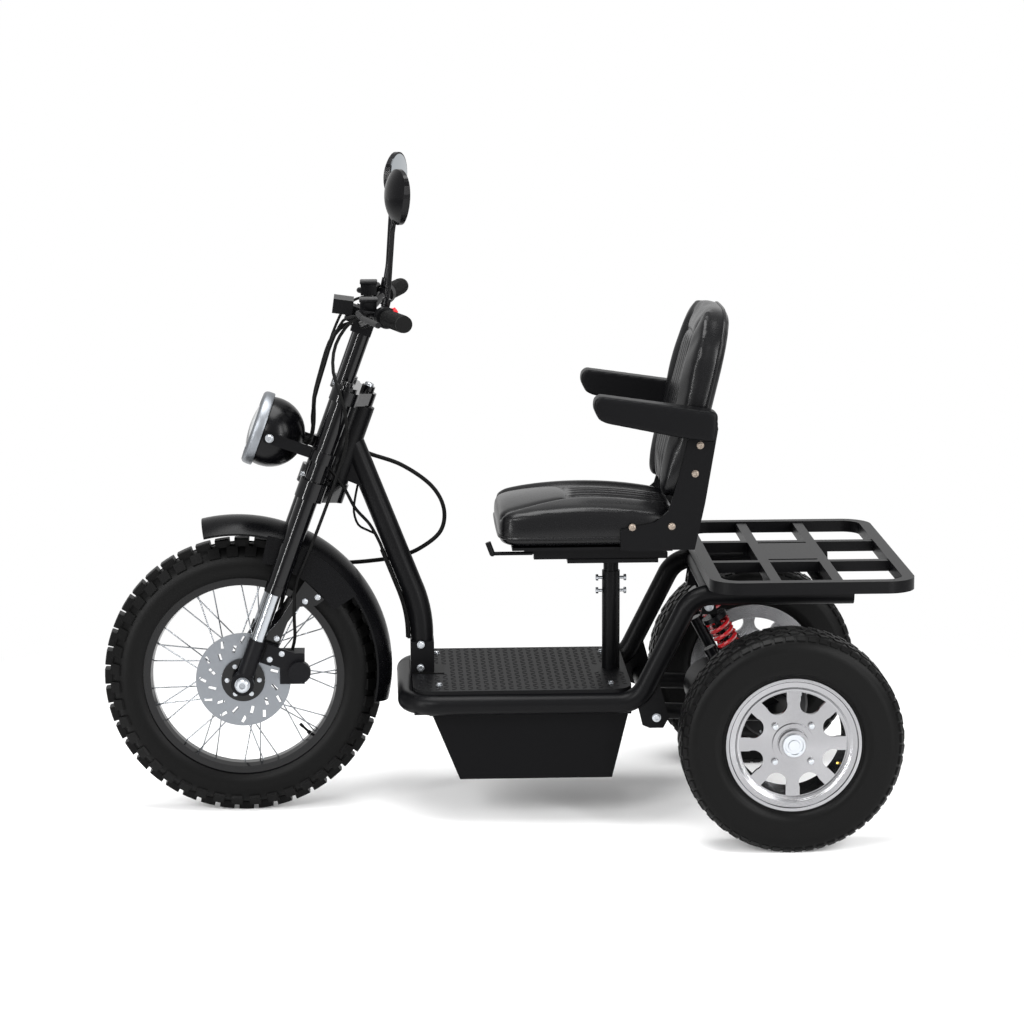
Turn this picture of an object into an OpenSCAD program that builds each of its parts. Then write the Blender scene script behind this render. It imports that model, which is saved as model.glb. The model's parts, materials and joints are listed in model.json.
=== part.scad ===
// Three-wheeled electric scooter with a spoked front wheel, a low step-through deck and a padded seat.
// Millimetres, X forward, Y to the rider's left, Z up from the ground.

/* [Stance] */
// Distance from the rear axle to the front axle
wheelbase = 1124; // [1050:1:1250]
// Distance between the mid-planes of the rear tyres
track = 713; // [660:1:780]

/* [Front wheel] */
// Radius of the front tyre at its lug tips
front_r = 295; // [285:1:305]
// Width of the front tyre
front_w = 92; // [80:1:100]
// Height of the front tyre's tread blocks
lug_h = 12; // [8:0.5:14]
// Tread blocks in a row round the front tyre
lugs = 44; // [36:1:50]
// Radius of the front rim at its flange
front_rim_r = 213; // [205:1:220]
// Number of wire spokes
spokes = 36; // [24:4:40]
// Thickness of a wire spoke
spoke_d = 2.8; // [2:0.1:3.2]
// Radius of the front brake disc
disc_r = 100; // [90:1:110]

/* [Rear wheels] */
// Radius of a rear tyre
rear_r = 226; // [215:1:236]
// Width of a rear tyre
rear_w = 128; // [110:1:140]
// Radius of the rear rim at its lip
rear_rim_r = 140; // [132:1:146]
// Windows in each rear wheel face
windows = 8; // [6:1:10]
// Radius at which the windows in a rear wheel begin
window_r = 67; // [62:1:72]
// Width of the rim lip on a rear wheel
lip_w = 8; // [6:1:10]

/* [Fork] */
// Lean of the steering axis from upright, in degrees
rake = 20; // [16:0.5:24]
// Distance of the fork legs ahead of the steering axis
fork_offset = 45; // [38:1:52]
// Distance of each fork leg from the middle plane
fork_half = 92; // [88:1:104]
// Diameter of the black upper fork tubes
fork_d = 43; // [38:1:46]
// Diameter of the chromed lower fork tubes
slider_d = 30; // [26:1:33]
// Height of the fork tubes' lower end along the steering axis
fork_lo = 204; // [190:1:230]
// Height of the lower clamp along the steering axis
clamp_lo = 417; // [400:1:430]
// Height of the upper clamp along the steering axis
clamp_hi = 632; // [600:1:660]
// Thickness of the lower clamp
clamp_lo_t = 40; // [30:1:48]
// Thickness of the upper clamp
clamp_hi_t = 28; // [20:1:34]

/* [Handlebar] */
// Height of the handlebar clamp along the steering axis
bar_s = 800; // [760:1:840]
// Distance of the handlebar clamp ahead of the steering axis
bar_x = 58; // [50:1:66]
// Half width of the handlebar
bar_half = 350; // [320:1:380]
// Diameter of the handlebar
bar_d = 22.2; // [20:0.1:25.4]
// Diameter of the grips
grip_d = 34; // [30:1:38]
// Length of the grips
grip_l = 125; // [110:1:140]

/* [Headlamp] */
// Diameter of the bright headlamp ring
lamp_d = 156; // [140:1:164]
// Height of the headlamp along the steering axis
lamp_s = 510; // [495:1:525]
// Distance of the headlamp ring ahead of the steering axis
lamp_x = 194; // [185:1:210]

/* [Front fender] */
// Outer radius of the fender
fender_r = 326; // [322:1:345]
// Half width of the fender
fender_half = 68; // [60:1:68]
// Angle of the fender's front tip, from forward
fender_from = 77; // [60:1:85]
// Angle of the fender's rear tip, from forward
fender_to = 193; // [180:1:196]

/* [Frame] */
// Height of the deck rails' centre line
rail_z = 268; // [255:1:290]
// Distance of each deck rail from the middle plane
rail_y = 200; // [185:1:215]
// Radius of the rail tubes
rail_r = 21.5; // [18:0.5:24]
// Distance of the front cross rail ahead of the rear axle
rail_front = 777; // [760:1:785]
// Height of the raised rear rails' centre line
rear_rail_z = 495; // [480:1:510]
// Radius of the front down tube
mast_r = 24; // [20:0.5:26]
// Distance of the down tube's foot ahead of the rear axle
mast_x = 745; // [735:1:752]
// Height of the bend in the down tube
mast_bend_z = 428; // [410:1:450]
// Diameter of the head tube
head_d = 54; // [48:1:60]

/* [Deck and battery] */
// Half width of the deck plate
deck_half = 203; // [190:1:215]
// Thickness of the deck plate
deck_t = 8; // [5:0.5:10]
// Half width of the battery box
box_half = 168; // [150:1:172]
// Height of the battery box's underside above the ground
box_lo = 100; // [90:1:130]

/* [Seat] */
// Distance of the seat post ahead of the rear axle
post_x = 342; // [335:1:360]
// Height of the top of the seat cushion
seat_z = 684; // [670:1:700]
// Half width of the seat cushion
seat_half = 172; // [160:1:176]
// Length of the seat cushion
seat_l = 372; // [350:1:390]
// Height of the top of the backrest
back_top = 1084; // [1060:1:1130]
// Lean of the backrest from upright, in degrees
back_lean = 13.4; // [10:0.2:16]
// Thickness of the backrest cushion
back_t = 58; // [50:1:70]
// Width of an armrest
arm_w = 50; // [44:1:56]

/* [Rack] */
// Distance of the rack's tail behind the rear axle
rack_tail = 258; // [240:1:280]
// Distance of the rack's front ahead of the rear axle
rack_nose = 163; // [150:1:180]
// Half width of the rack
rack_half = 353; // [330:1:370]
// Height of the rack's top
rack_z = 550; // [542:1:570]
// Thickness of the rack's frame
rack_t = 25; // [20:1:28]

/* [Rear suspension] */
// Distance of the swing arm's pivot ahead of the rear axle
pivot_x = 261; // [255:1:266]
// Height of the swing arm's pivot
pivot_z = 236; // [228:1:242]
// Distance of each shock from the middle plane
shock_y = 150; // [145:1:155]
// Turns of wire in each spring
coils = 7; // [5:1:9]

/* [Hidden] */
$fn = 64;
// Seating gap between pieces that stay together
seat_gap = 0.2;
// Running gap round a turning shaft
run_gap = 0.4;
// Gap between pieces that slide or hinge on each other
slide_gap = 0.3;
// Depth by which welded pieces run into each other
weld = 4;
// Height by which a bent elbow stands proud of the straight tube in it
elbow = 0.25;
// Depth of a straight tube in its elbow
elbow_in = 3;
rear_x = (rack_tail - wheelbase - front_r) / 2;
slider_r = slider_d / 2;
fork_r = fork_d / 2;
fork_hi = clamp_hi + clamp_hi_t + 8;
head_r = head_d / 2;
head_lo = clamp_lo + clamp_lo_t + 2;
head_hi = clamp_hi - 2;
stem_r = 14;
steer_x = wheelbase - fork_offset * cos(rake);
steer_z = front_r - fork_offset * sin(rake);
axle_r = 7.5;
front_rim_w = 29;
front_bead_r = front_rim_r - 14;
front_sec_r = front_w / 2 - 2;
front_mid_r = front_r - lug_h - front_sec_r;
hub_flange_y = 38;
hub_flange_r = 44;
disc_y = 56;
disc_t = 4;
disc_in = 46;
ear_y = fork_half - 19;
fender_t = 3;
crown_r = 96;
fender_out = fender_half + 0.6;
lamp_r = lamp_d / 2;
bucket_back = lamp_x - 104;
bowl_r = lamp_r - 4;
bar_r = bar_d / 2;
riser_r = 18;
riser_y = 50;
grip_dir = [-41, 170, 18] / norm([-41, 170, 18]);
bar_rise = [-24, 95, 38];
bar_mid = [bar_x, 80, bar_s];
bar_knee = bar_mid + bar_rise;
bar_end = bar_knee + grip_dir * (bar_half - bar_knee.y) / grip_dir.y;
grip_in = bar_end - grip_dir * grip_l;
beam_lo = rail_z - rail_r + 0.5;
beam_hi = rail_z + rail_r - 3.5;
deck_lo = rail_z + rail_r + elbow + 0.1;
deck_front = rail_front - 10;
deck_rear = post_x - 32;
mast_s = clamp_hi - 76;
mast_top = [steer_x - mast_s * sin(rake), 0, steer_z + mast_s * cos(rake)];
mast_bend = [mast_x, 0, mast_bend_z];
mast_bend_r = 280;
mast_foot_z = rail_z + 97;
slope_lo = post_x - 42;
slope_hi = slope_lo - (rear_rail_z - rail_z) / 2;
rail_end = 147 - rack_tail - 36;
box_hi = beam_lo;
box_front = mast_x - 18;
box_rear = post_x - 25;
box_wall = 3;
post_r = 16;
post_hi = seat_z - 126;
sleeve_r = 19;
rail_tube_y = 110;
lower_rail_t = 12;
upper_rail_z = post_hi + lower_rail_t + slide_gap;
upper_rail_t = 14;
pan_z = upper_rail_z + upper_rail_t;
pan_t = 6;
cushion_z = pan_z + pan_t + seat_gap;
cushion_rear = post_x - 127;
back_foot = [post_x - 94, 0, seat_z + 8];
back_l = (back_top - back_foot.z) / cos(back_lean);
bracket_y = seat_half + 1;
back_half = bracket_y - slide_gap;
bracket_t = 5;
arm_boss = 2;
arm_in = bracket_y + bracket_t + arm_boss + slide_gap;
arm_pivot = [post_x - 190, 0, seat_z + 165];
shock_top = [150, shock_y, rear_rail_z - 30];
shock_foot = [46, shock_y, rear_r + 44];
shock_l = norm(shock_top - shock_foot);
spring_lo = 58;
spring_hi = shock_l - 36;
spring_wire = 4.5;
spring_r = 21;
rear_bead_r = rear_rim_r - 22;
rear_rim_w = 54;
face_z = 41;
stub_r = 14;
tube_in = 95;
tube_out = track / 2 - 90;
cross_x = [28, -98];
tie_r = 14;
perch_at = grip_l + 36;
// Routes of the cables: the first three stand in the frame's places, the rest on the steering axis
horn_route = [[878, -8, 699], [884, -9, 670], [887, -10, 640], [878, -10, 612], [858, -9, 600], [840, -8, 592]];
lead_route = [[991.2, 12.5, 785], [970, 38, 764], [935, 50, 740], [906, 44, 700], [884, 28, 655], [854, 12, 617],
    [834.3, 6, 579], [827.1, 6, 560.5]];
loop_route = [[878, -29, 774], [850, -31, 760], [785, -38, 735], [723, -42, 690], [696, -44, 640], [703, -46, 590],
    [746, -50, 553], [795, -56, 533], [858, -78, 520], [925, -94, 512], [985, -106, 500], [1030, -104, 465],
    [1048, -90, 420], [1056, -80, 380]];
pod_route = [[49.5, 214, 829], [80, 160, 818], [100, 110, 795], [106, 80, 740], [104, 62, 690], [100, 48, 620],
    [92, 32, 575], [80, 20, 545], [80, 13, 528], [90.2, 10, 520]];
dash_route = [[80, 0, 783], [96, 0, 768], [108, 2, 730], [106, 4, 670], [100, 4, 610], [84, 2, 560], [78, 0, 522],
    [87.5, -2, 508]];
hose_route = [[57, 178, 830], [85, 142, 802], [98, 122, 745], [84, 130, 690], [40, 131, 630], [10, 112, 560],
    [4, 96, 480], [4, 94, 400], [6, 90, 300], [8, 84, 230], [-10, 80, 170], [-27, 68, 125], [-31, 62, 97]];

// Moves the rear axle's ground point to the shared origin
module ground() {
    translate([rear_x, 0, 0]) children();
}

// Stands children on the steering axis: z runs up the axis, x forward of it
module steer() {
    ground() translate([steer_x, 0, steer_z]) rotate([0, -rake, 0]) children();
}

// Turns children so that z runs along the front axle to the right
module front_spin() {
    ground() translate([wheelbase, 0, front_r]) rotate([90, 0, 0]) children();
}

// Turns children so that z runs out of the left rear wheel
module rear_spin() {
    ground() translate([0, track / 2, rear_r]) rotate([-90, 0, 0]) children();
}

module both() {
    children();
    mirror([0, 1, 0]) children();
}

function unit(v) = v / norm(v);

// A round bar from point a to point b
module rod(a, b, r) {
    v = b - a;
    translate(a)
        rotate([0, acos(v.z / norm(v)), atan2(v.y, v.x)])
            cylinder(r = r, h = norm(v));
}

function turn(p, q, s) = acos(max(-1, min(1, unit(q - p) * unit(s - q))));

// The curved piece of tube at corner q
module corner(p, q, s, r, bend) {
    a = unit(q - p);
    b = unit(s - q);
    n = unit(b - a * (a * b));
    c = q - a * bend * tan(turn(p, q, s) / 2) + n * bend;
    z = cross(-n, a);
    multmatrix([
        [-n.x, a.x, z.x, c.x],
        [-n.y, a.y, z.y, c.y],
        [-n.z, a.z, z.z, c.z],
        [0, 0, 0, 1]
    ])
        rotate_extrude(angle = turn(p, q, s))
            translate([bend, 0])
                circle(r + elbow);
}

// A tube through the points, each corner bent to one radius
module bent(pts, r, bend) {
    n = len(pts);
    cut = [for (i = [0:n - 1]) i == 0 || i == n - 1
        ? 0 : bend * tan(turn(pts[i - 1], pts[i], pts[i + 1]) / 2) - elbow_in];
    for (i = [0:n - 2]) {
        d = unit(pts[i + 1] - pts[i]);
        rod(pts[i] + d * cut[i], pts[i + 1] - d * cut[i + 1], r);
    }
    for (i = [1:n - 2])
        corner(pts[i - 1], pts[i], pts[i + 1], r, bend);
}

// A plate standing in the XZ plane from y = lo to y = hi
module upright(pts, lo, hi) {
    translate([0, hi, 0])
        rotate([90, 0, 0])
            linear_extrude(hi - lo)
                polygon(pts);
}

// A flat rectangle with round corners
module round_rect(x0, x1, half, r) {
    translate([x0, r - half]) square([x1 - x0, 2 * (half - r)]);
    translate([x0 + r, -half]) square([x1 - x0 - 2 * r, 2 * half]);
    for (x = [x0 + r, x1 - r])
        for (y = [r - half, half - r])
            translate([x, y]) circle(r);
}

function mast_at(t) = mast_top + (mast_bend - mast_top) * t;
function axis_at(s) = [steer_x - s * sin(rake), 0, steer_z + s * cos(rake)];
function flat(p) = [p.x, p.z];

module rail_path() {
    left = [
        [rail_end, rail_y, rear_rail_z],
        [slope_hi, rail_y, rear_rail_z],
        [slope_lo, rail_y, rail_z],
        [rail_front, rail_y, rail_z]
    ];
    right = [for (i = [3:-1:0]) [left[i].x, -left[i].y, left[i].z]];
    bent(concat(left, right), rail_r, 62);
}

// Beam across the rails at x
module beam(x) {
    translate([x - 20, -rail_y, beam_lo]) cube([40, 2 * rail_y, beam_hi - beam_lo]);
}

module main_frame() color("#1d1d1f") {
    difference() {
        union() {
            steer() translate([0, 0, head_lo]) cylinder(r = head_r, h = head_hi - head_lo);
            ground() {
                bent([mast_top, mast_bend, [mast_x, 0, beam_lo + 4]], mast_r, mast_bend_r);
                upright([flat(axis_at(head_lo + 10)), flat(axis_at(mast_s - 10)), flat(mast_at(0.3))], -17, 17);
                rail_path();
                for (x = [post_x, (post_x + mast_x) / 2 - 22, mast_x - 55, mast_x])
                    beam(x);
                translate([mast_x - 25, -31, beam_lo + 2]) cube([50, 62, mast_foot_z - beam_lo - 2]);
                translate([post_x, 0, beam_lo]) cylinder(r = sleeve_r, h = post_hi - 48 - beam_lo);
                for (x = concat([shock_top.x], [cross_x[1]]))
                    rod([x, -rail_y, rear_rail_z], [x, rail_y, rear_rail_z], tie_r);
                both() {
                    for (y = [shock_y - 23, shock_y + 17])
                        upright([
                            [shock_top.x - 17, shock_top.z - 17], [shock_top.x + 17, shock_top.z - 17],
                            [shock_top.x + 10, rear_rail_z], [shock_top.x - 10, rear_rail_z]
                        ], y, y + 6);
                    upright([
                        [slope_lo + 2, rail_z], [slope_lo - 10, pivot_z - 16], [pivot_x + 14, pivot_z - 22],
                        [pivot_x - 14, pivot_z - 22], [pivot_x - 26, pivot_z], [slope_lo - 38, rail_z + 66],
                        [slope_lo - 20, rail_z + 40]
                    ], rail_y - 4, rail_y + 4);
                }
            }
        }
        steer() translate([0, 0, head_lo - 1]) cylinder(r = stem_r + 1, h = head_hi - head_lo + 2);
        ground() translate([post_x, 0, beam_hi]) cylinder(r = post_r + seat_gap / 2, h = post_hi);
    }
}

module deck_plate() color("#26262a") ground() difference() {
    translate([0, 0, deck_lo]) linear_extrude(deck_t) round_rect(deck_rear, deck_front, deck_half, 48);
    translate([mast_x - 37, -34, deck_lo - 1]) cube([90, 68, deck_t + 2]);
    translate([post_x, 0, deck_lo - 1]) cylinder(r = sleeve_r + 0.5, h = deck_t + 2);
}

// Side outline of the battery box, grown by g
function box_side(g) = [
    [box_front + g, box_hi - 9 + g], [box_front - 57 + g, box_lo - g],
    [box_rear + 34 - g, box_lo - g], [box_rear - g, box_hi - 9 + g]
];

module battery_box() color("#303034") ground() {
    difference() {
        upright(box_side(0), -box_half, box_half);
        upright(box_side(-box_wall), box_wall - box_half, box_half - box_wall);
    }
    translate([box_rear - 6, -box_half - 6, box_hi - 9])
        cube([box_front - box_rear + 12, 2 * box_half + 12, 9]);
}

module battery_pack() color("#3a5a78") ground()
    translate([box_rear + 62, -box_half + 22, box_lo + box_wall])
        cube([box_front - box_rear - 146, 2 * box_half - 44, box_hi - box_lo - 40]);

module seat_post() color("#1d1d1f") ground() {
    translate([post_x, 0, beam_hi]) cylinder(r = post_r, h = post_hi - 8 - beam_hi);
    translate([post_x - 90, -rail_tube_y - 16, post_hi - 8]) cube([190, 2 * rail_tube_y + 32, 8]);
}

module seat_rails() color("#1d1d1f") ground() both()
    translate([post_x - 110, rail_tube_y - 11, post_hi]) cube([280, 22, lower_rail_t]);

module seat_frame() color("#1d1d1f") ground() {
    translate([cushion_rear + 12, -seat_half + 12, pan_z]) cube([seat_l - 40, 2 * seat_half - 24, pan_t]);
    both() {
        translate([post_x - 100, rail_tube_y - 16, upper_rail_z]) cube([290, 32, upper_rail_t]);
        upright([
            [post_x - 7, pan_z + 2], [post_x - 161, pan_z + 2], [post_x - 182, pan_z + 99],
            [arm_pivot.x - 18, arm_pivot.z - 10], [arm_pivot.x - 12, arm_pivot.z + 20],
            [arm_pivot.x + 14, arm_pivot.z + 24], [arm_pivot.x + 34, arm_pivot.z + 8],
            [post_x - 126, pan_z + 150], [post_x - 106, pan_z + 84], [post_x - 78, pan_z + 60],
            [post_x - 7, pan_z + 46]
        ], bracket_y, bracket_y + bracket_t);
        translate([cushion_rear + 12, seat_half - 14, pan_z])
            cube([90, bracket_y + bracket_t - seat_half + 14, pan_t]);
        translate([arm_pivot.x, bracket_y, arm_pivot.z])
            rotate([-90, 0, 0])
                cylinder(r = 17, h = bracket_t + arm_boss);
    }
    translate([cushion_rear + 300, rail_tube_y + 14, pan_z - 12]) rotate([90, 0, 90]) cylinder(r = 4, h = 84);
    rod([cushion_rear + 384, rail_tube_y + 14, pan_z - 12], [cushion_rear + 393, rail_tube_y + 14, pan_z + 12], 6);
    translate([cushion_rear + 384, rail_tube_y + 14, pan_z - 12]) sphere(r = 6);
}

module seat_cushion() color("#151517") ground() intersection() {
    translate([0, 0, cushion_z])
        linear_extrude(seat_z - cushion_z)
            round_rect(cushion_rear, cushion_rear + seat_l, seat_half, 44);
    translate([cushion_rear + seat_l / 2, 0, seat_z - 900]) sphere(r = 900, $fn = 160);
}

module back_cushion() color("#151517") ground()
    translate(back_foot)
        rotate([0, -back_lean, 0])
            rotate([0, -90, 0])
                linear_extrude(back_t)
                    intersection() {
                        round_rect(0, back_l, back_half, 46);
                        round_rect(-200, back_l, back_half, 110);
                    }

module armrest() {
    ground() {
        upright([
            [arm_pivot.x - 9, arm_pivot.z - 32], [arm_pivot.x - 13, arm_pivot.z + 26],
            [arm_pivot.x - 6, arm_pivot.z + 33], [arm_pivot.x + 230, arm_pivot.z + 67],
            [arm_pivot.x + 241, arm_pivot.z + 58], [arm_pivot.x + 243, arm_pivot.z + 40],
            [arm_pivot.x + 232, arm_pivot.z + 18], [arm_pivot.x + 216, arm_pivot.z + 10],
            [arm_pivot.x + 60, arm_pivot.z - 22]
        ], arm_in, arm_in + arm_w);
    }
}

module armrest_left() color("#17171a") armrest();
module armrest_right() color("#17171a") mirror([0, 1, 0]) armrest();

module rear_rack() color("#1d1d1f") ground() difference() {
    union() {
        translate([0, 0, rack_z - rack_t]) linear_extrude(rack_t) difference() {
            round_rect(-rack_tail, rack_nose, rack_half, 62);
            round_rect(rack_t - rack_tail, rack_nose - rack_t, rack_half - rack_t, 62 - rack_t);
        }
        for (x = cross_x)
            translate([x - 11, weld - rack_half, rack_z - rack_t])
                cube([22, 2 * (rack_half - weld), rack_t - 3]);
        for (y = [-110, 110])
            translate([weld - rack_tail, y - 11, rack_z - rack_t])
                cube([rack_nose + rack_tail - 2 * weld, 22, rack_t - 3]);
        translate([cross_x[1] - 2, -88, rack_z - 7]) cube([cross_x[0] - cross_x[1] + 4, 176, 4]);
        for (x = cross_x)
            for (y = [-rail_y, rail_y])
                translate([x - 11, y - 20, rear_rail_z + 8]) cube([22, 40, rack_z - rack_t - rear_rail_z]);
    }
    both() rod([rail_end - 9, rail_y, rear_rail_z], [rack_nose, rail_y, rear_rail_z], rail_r + seat_gap);
    rod([cross_x[1], -rail_y, rear_rail_z], [cross_x[1], rail_y, rear_rail_z], tie_r + seat_gap);
}

module swing_arm() color("#1d1d1f") ground() difference() {
    union() {
        rod([pivot_x, 4 - rail_y, pivot_z], [pivot_x, rail_y - 4, pivot_z], 19);
        both() {
            rod([pivot_x, 140, pivot_z], [0, 140, rear_r], 17);
            rod([0, tube_in, rear_r], [0, tube_out, rear_r], 32);
            for (y = [shock_y - 23, shock_y + 17])
                upright([
                    [-18, rear_r + 18], [24, rear_r - 12], [shock_foot.x + 15, shock_foot.z - 12],
                    [shock_foot.x + 12, shock_foot.z + 12], [shock_foot.x - 12, shock_foot.z + 15]
                ], y, y + 6);
        }
    }
    rod([0, -tube_out - 1, rear_r], [0, tube_out + 1, rear_r], stub_r + seat_gap);
}

module transaxle() color("#2a2a2d") ground() {
    translate([0, 0, rear_r]) rotate([90, 0, 0]) rotate_extrude() polygon([
        [0, -tube_in], [36, -tube_in], [70, -60], [76, -50], [76, 50], [70, 60], [36, tube_in], [0, tube_in]
    ]);
    rod([118, -72, pivot_z + 6], [118, 72, pivot_z + 6], 60);
    translate([0, -44, pivot_z - 42]) cube([118, 88, 84]);
    rod([0, -track / 2 - 34, rear_r], [0, track / 2 + 34, rear_r], stub_r);
}

// Coil-over shock standing on its lower eye
module shock() {
    up = unit(shock_top - shock_foot);
    can = shock_foot + [up.z, 0, -up.x] * (spring_r + spring_wire + 15);
    ground() {
        for (p = [shock_foot, shock_top])
            rod(p - [0, 16.8, 0], p + [0, 16.8, 0], 13);
        rod(shock_foot, shock_foot + up * (spring_lo - 12), 12);
        rod(shock_foot + up * (spring_lo - 12), shock_foot + up * spring_lo, 27);
        rod(shock_foot + up * spring_lo, shock_foot + up * (spring_lo + 60), 15.5);
        rod(shock_foot + up * spring_lo, shock_foot + up * (shock_l - 8), 7);
        rod(shock_foot + up * spring_hi, shock_foot + up * (spring_hi + 10), 27);
        rod(can + up * (spring_lo - 12), can + up * (spring_lo + 80), 13);
        rod(shock_foot + up * (spring_lo - 6), can + up * (spring_lo - 6), 5);
    }
}

module shock_left() color("#2a2a2d") shock();
module shock_right() color("#2a2a2d") mirror([0, 1, 0]) shock();

// Skin over rings of points, sides to a ring
module ring_mesh(pts, sides) {
    n = len(pts) / sides - 1;
    skin = [for (i = [0:n - 1]) for (k = [0:sides - 1])
        [i * sides + k, i * sides + (k + 1) % sides, (i + 1) * sides + (k + 1) % sides, (i + 1) * sides + k]];
    ends = [[for (k = [sides - 1:-1:0]) k], [for (k = [0:sides - 1]) n * sides + k]];
    polyhedron(pts, concat(skin, ends));
}

// A wire coil round the z axis
module coil(r, wire, lo, hi, turns) {
    sides = 6;
    steps = 16;
    n = turns * steps;
    ring_mesh([for (i = [0:n]) for (k = [0:sides - 1])
        [(r + wire * cos(k * 60)) * cos(i * 360 / steps), (r + wire * cos(k * 60)) * sin(i * 360 / steps),
            lo + (hi - lo) * i / n + wire * sin(k * 60)]], sides);
}

function curve_at(a, b, c, d, t) = 0.5 * (2 * b + (c - a) * t + (2 * a - 5 * b + 4 * c - d) * t * t
    + (3 * b - a - 3 * c + d) * t * t * t);

// A smooth line through the points of a route, n steps between two of them
function smooth(p, n) = concat([for (i = [0:len(p) - 2]) for (k = [0:n - 1])
    curve_at(p[max(i - 1, 0)], p[i], p[i + 1], p[min(i + 2, len(p) - 1)], k / n)], [p[len(p) - 1]]);

// A round cable along a route
module cable(route, r) {
    sides = 8;
    line = smooth(route, 3);
    last = len(line) - 1;
    ring_mesh([for (i = [0:last])
        let (
            t = unit(line[min(i + 1, last)] - line[max(i - 1, 0)]),
            u = unit(cross(t, [0.1, 1, 0.2])),
            v = cross(u, t)
        )
        for (k = [0:sides - 1]) line[i] + r * (u * cos(k * 45) + v * sin(k * 45))], sides);
}

module springs() color("#a81e22") ground() both() {
    v = shock_top - shock_foot;
    translate(shock_foot)
        rotate([0, acos(v.z / norm(v)), atan2(v.y, v.x)])
            coil(spring_r, spring_wire, spring_lo + spring_wire + seat_gap,
                spring_hi - spring_wire - seat_gap, coils);
}

// One wire held along the front of the down tube, y to the left of its middle
module mast_wire(y, r) {
    lean = atan2(mast_top.x - mast_x, mast_top.z - mast_bend_z);
    off = mast_r + elbow + r + elbow + 0.1;
    side = [cos(lean), 0, -sin(lean)];
    mid = unit(side + [1, 0, 0]) / cos(lean / 2);
    bent([
        mast_at(0.62) + side * off + [0, y, 0], mast_bend + mid * off + [0, y, 0],
        [mast_x + off, y, mast_foot_z + 3]
    ], r, mast_bend_r - off);
}

module wire_harness() color("#101012") ground() {
    mast_wire(-6, 5);
    mast_wire(6, 3.5);
    cable(horn_route, 2.5);
}

module wire_lead() color("#101012") ground() cable(lead_route, 3.5);
module loop_lead() color("#101012") ground() cable(loop_route, 4.5);
module bar_wires() color("#101012") steer() {
    both() cable(pod_route, 3);
    cable(dash_route, 4.5);
}
module brake_hose() color("#101012") steer() cable(hose_route, 3.5);

module leg_pair() {
    both() translate([fork_offset, fork_half, 0]) children();
}

module fork_tubes() color("#19191b") steer() leg_pair() difference() {
    union() {
        translate([0, 0, fork_lo]) cylinder(r = fork_r, h = fork_hi - fork_lo);
        translate([0, 0, fork_lo]) cylinder(r = fork_r + 1.5, h = 20);
    }
    translate([0, 0, fork_lo - 1]) cylinder(r = slider_r + seat_gap / 2, h = 176);
}

module fork_sliders() color("#c9ccd0") steer() leg_pair()
    translate([0, 0, 40]) cylinder(r = slider_r, h = fork_lo + 120);

module axle_lugs() color("#19191b") steer() both() difference() {
    union() {
        translate([fork_offset, fork_half, 0]) cylinder(r = 18, h = 98);
        translate([fork_offset, ear_y, 0]) rotate([-90, 0, 0]) cylinder(r = 24, h = 36);
        translate([fork_offset - 45, ear_y, 52]) cube([45, 12, 46]);
    }
    translate([fork_offset, fork_half, 40]) cylinder(r = slider_r + seat_gap / 2, h = 80);
    translate([fork_offset, ear_y - 1, 0]) rotate([-90, 0, 0]) cylinder(r = axle_r + seat_gap / 2, h = 60);
}

// Outline of a fork clamp round a stem boss of radius r, with holes for the legs
module clamp_shape(r) {
    difference() {
        union() {
            circle(r);
            for (y = [-fork_half, fork_half])
                translate([fork_offset, y]) circle(fork_r + 8);
            polygon([
                [fork_offset + 22, fork_half], [fork_offset + 22, -fork_half],
                [fork_offset - 26, -fork_half], [10 - r, -20], [10 - r, 20], [fork_offset - 26, fork_half]
            ]);
        }
        for (y = [-fork_half, fork_half])
            translate([fork_offset, y]) circle(fork_r + seat_gap / 2);
    }
}

module fork_clamps() color("#202023") steer() {
    translate([0, 0, clamp_lo]) linear_extrude(clamp_lo_t) clamp_shape(head_r + 3);
    translate([0, 0, clamp_hi]) linear_extrude(clamp_hi_t) clamp_shape(head_r - 6);
    translate([0, 0, clamp_lo + 2]) cylinder(r = stem_r, h = clamp_hi + clamp_hi_t + 10 - clamp_lo);
}

module bar_risers() color("#202023") steer() both() difference() {
    union() {
        translate([bar_x - 6, riser_y, clamp_hi + clamp_hi_t]) cylinder(r = riser_r, h = bar_s - clamp_hi - clamp_hi_t);
        translate([bar_x - 24, riser_y - 18, bar_s - 24]) cube([44, 36, 44]);
    }
    translate([bar_x, 0, bar_s]) rotate([-90, 0, 0]) cylinder(r = bar_r + seat_gap / 2, h = 100);
}

module handlebar() color("#202023") steer() {
    left = [bar_end, bar_knee, bar_mid];
    right = [for (i = [2:-1:0]) [left[i].x, -left[i].y, left[i].z]];
    bent(concat(left, right), bar_r, 48);
}

// A sleeve along the left grip line, from a to b measured in from the bar's end
module on_bar(a, b, r) {
    difference() {
        rod(bar_end - grip_dir * a, bar_end - grip_dir * b, r);
        rod(bar_end - grip_dir * (b + 2), bar_end - grip_dir * max(a - 2, 0), bar_r + seat_gap / 2);
    }
}

module grips() color("#121214") steer() both() {
    on_bar(-4, grip_l, grip_d / 2);
}

module switch_pods() color("#19191b") steer() both() {
    on_bar(grip_l + 2, grip_l + 25, 22);
}

module brake_levers() color("#242427") steer() both() {
    perch = bar_end - grip_dir * (perch_at);
    on_bar(grip_l + 27.5, grip_l + 45, 18);
    bent([perch + [19, 0, -2], perch + [52, 14, -8], perch + [40, 60, -10], perch + [10, 178, 0]], 6, 16);
}

module dash_unit() color("#19191b") steer() difference() {
    union() {
        translate([bar_x + 4, -26, bar_s - 12]) cube([34, 52, 34]);
        translate([bar_x + 26, -44, bar_s + 4]) rotate([0, 12, 0]) cube([42, 88, 30]);
    }
    rod([bar_x, -60, bar_s], [bar_x, 60, bar_s], bar_r + seat_gap / 2);
}

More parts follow.
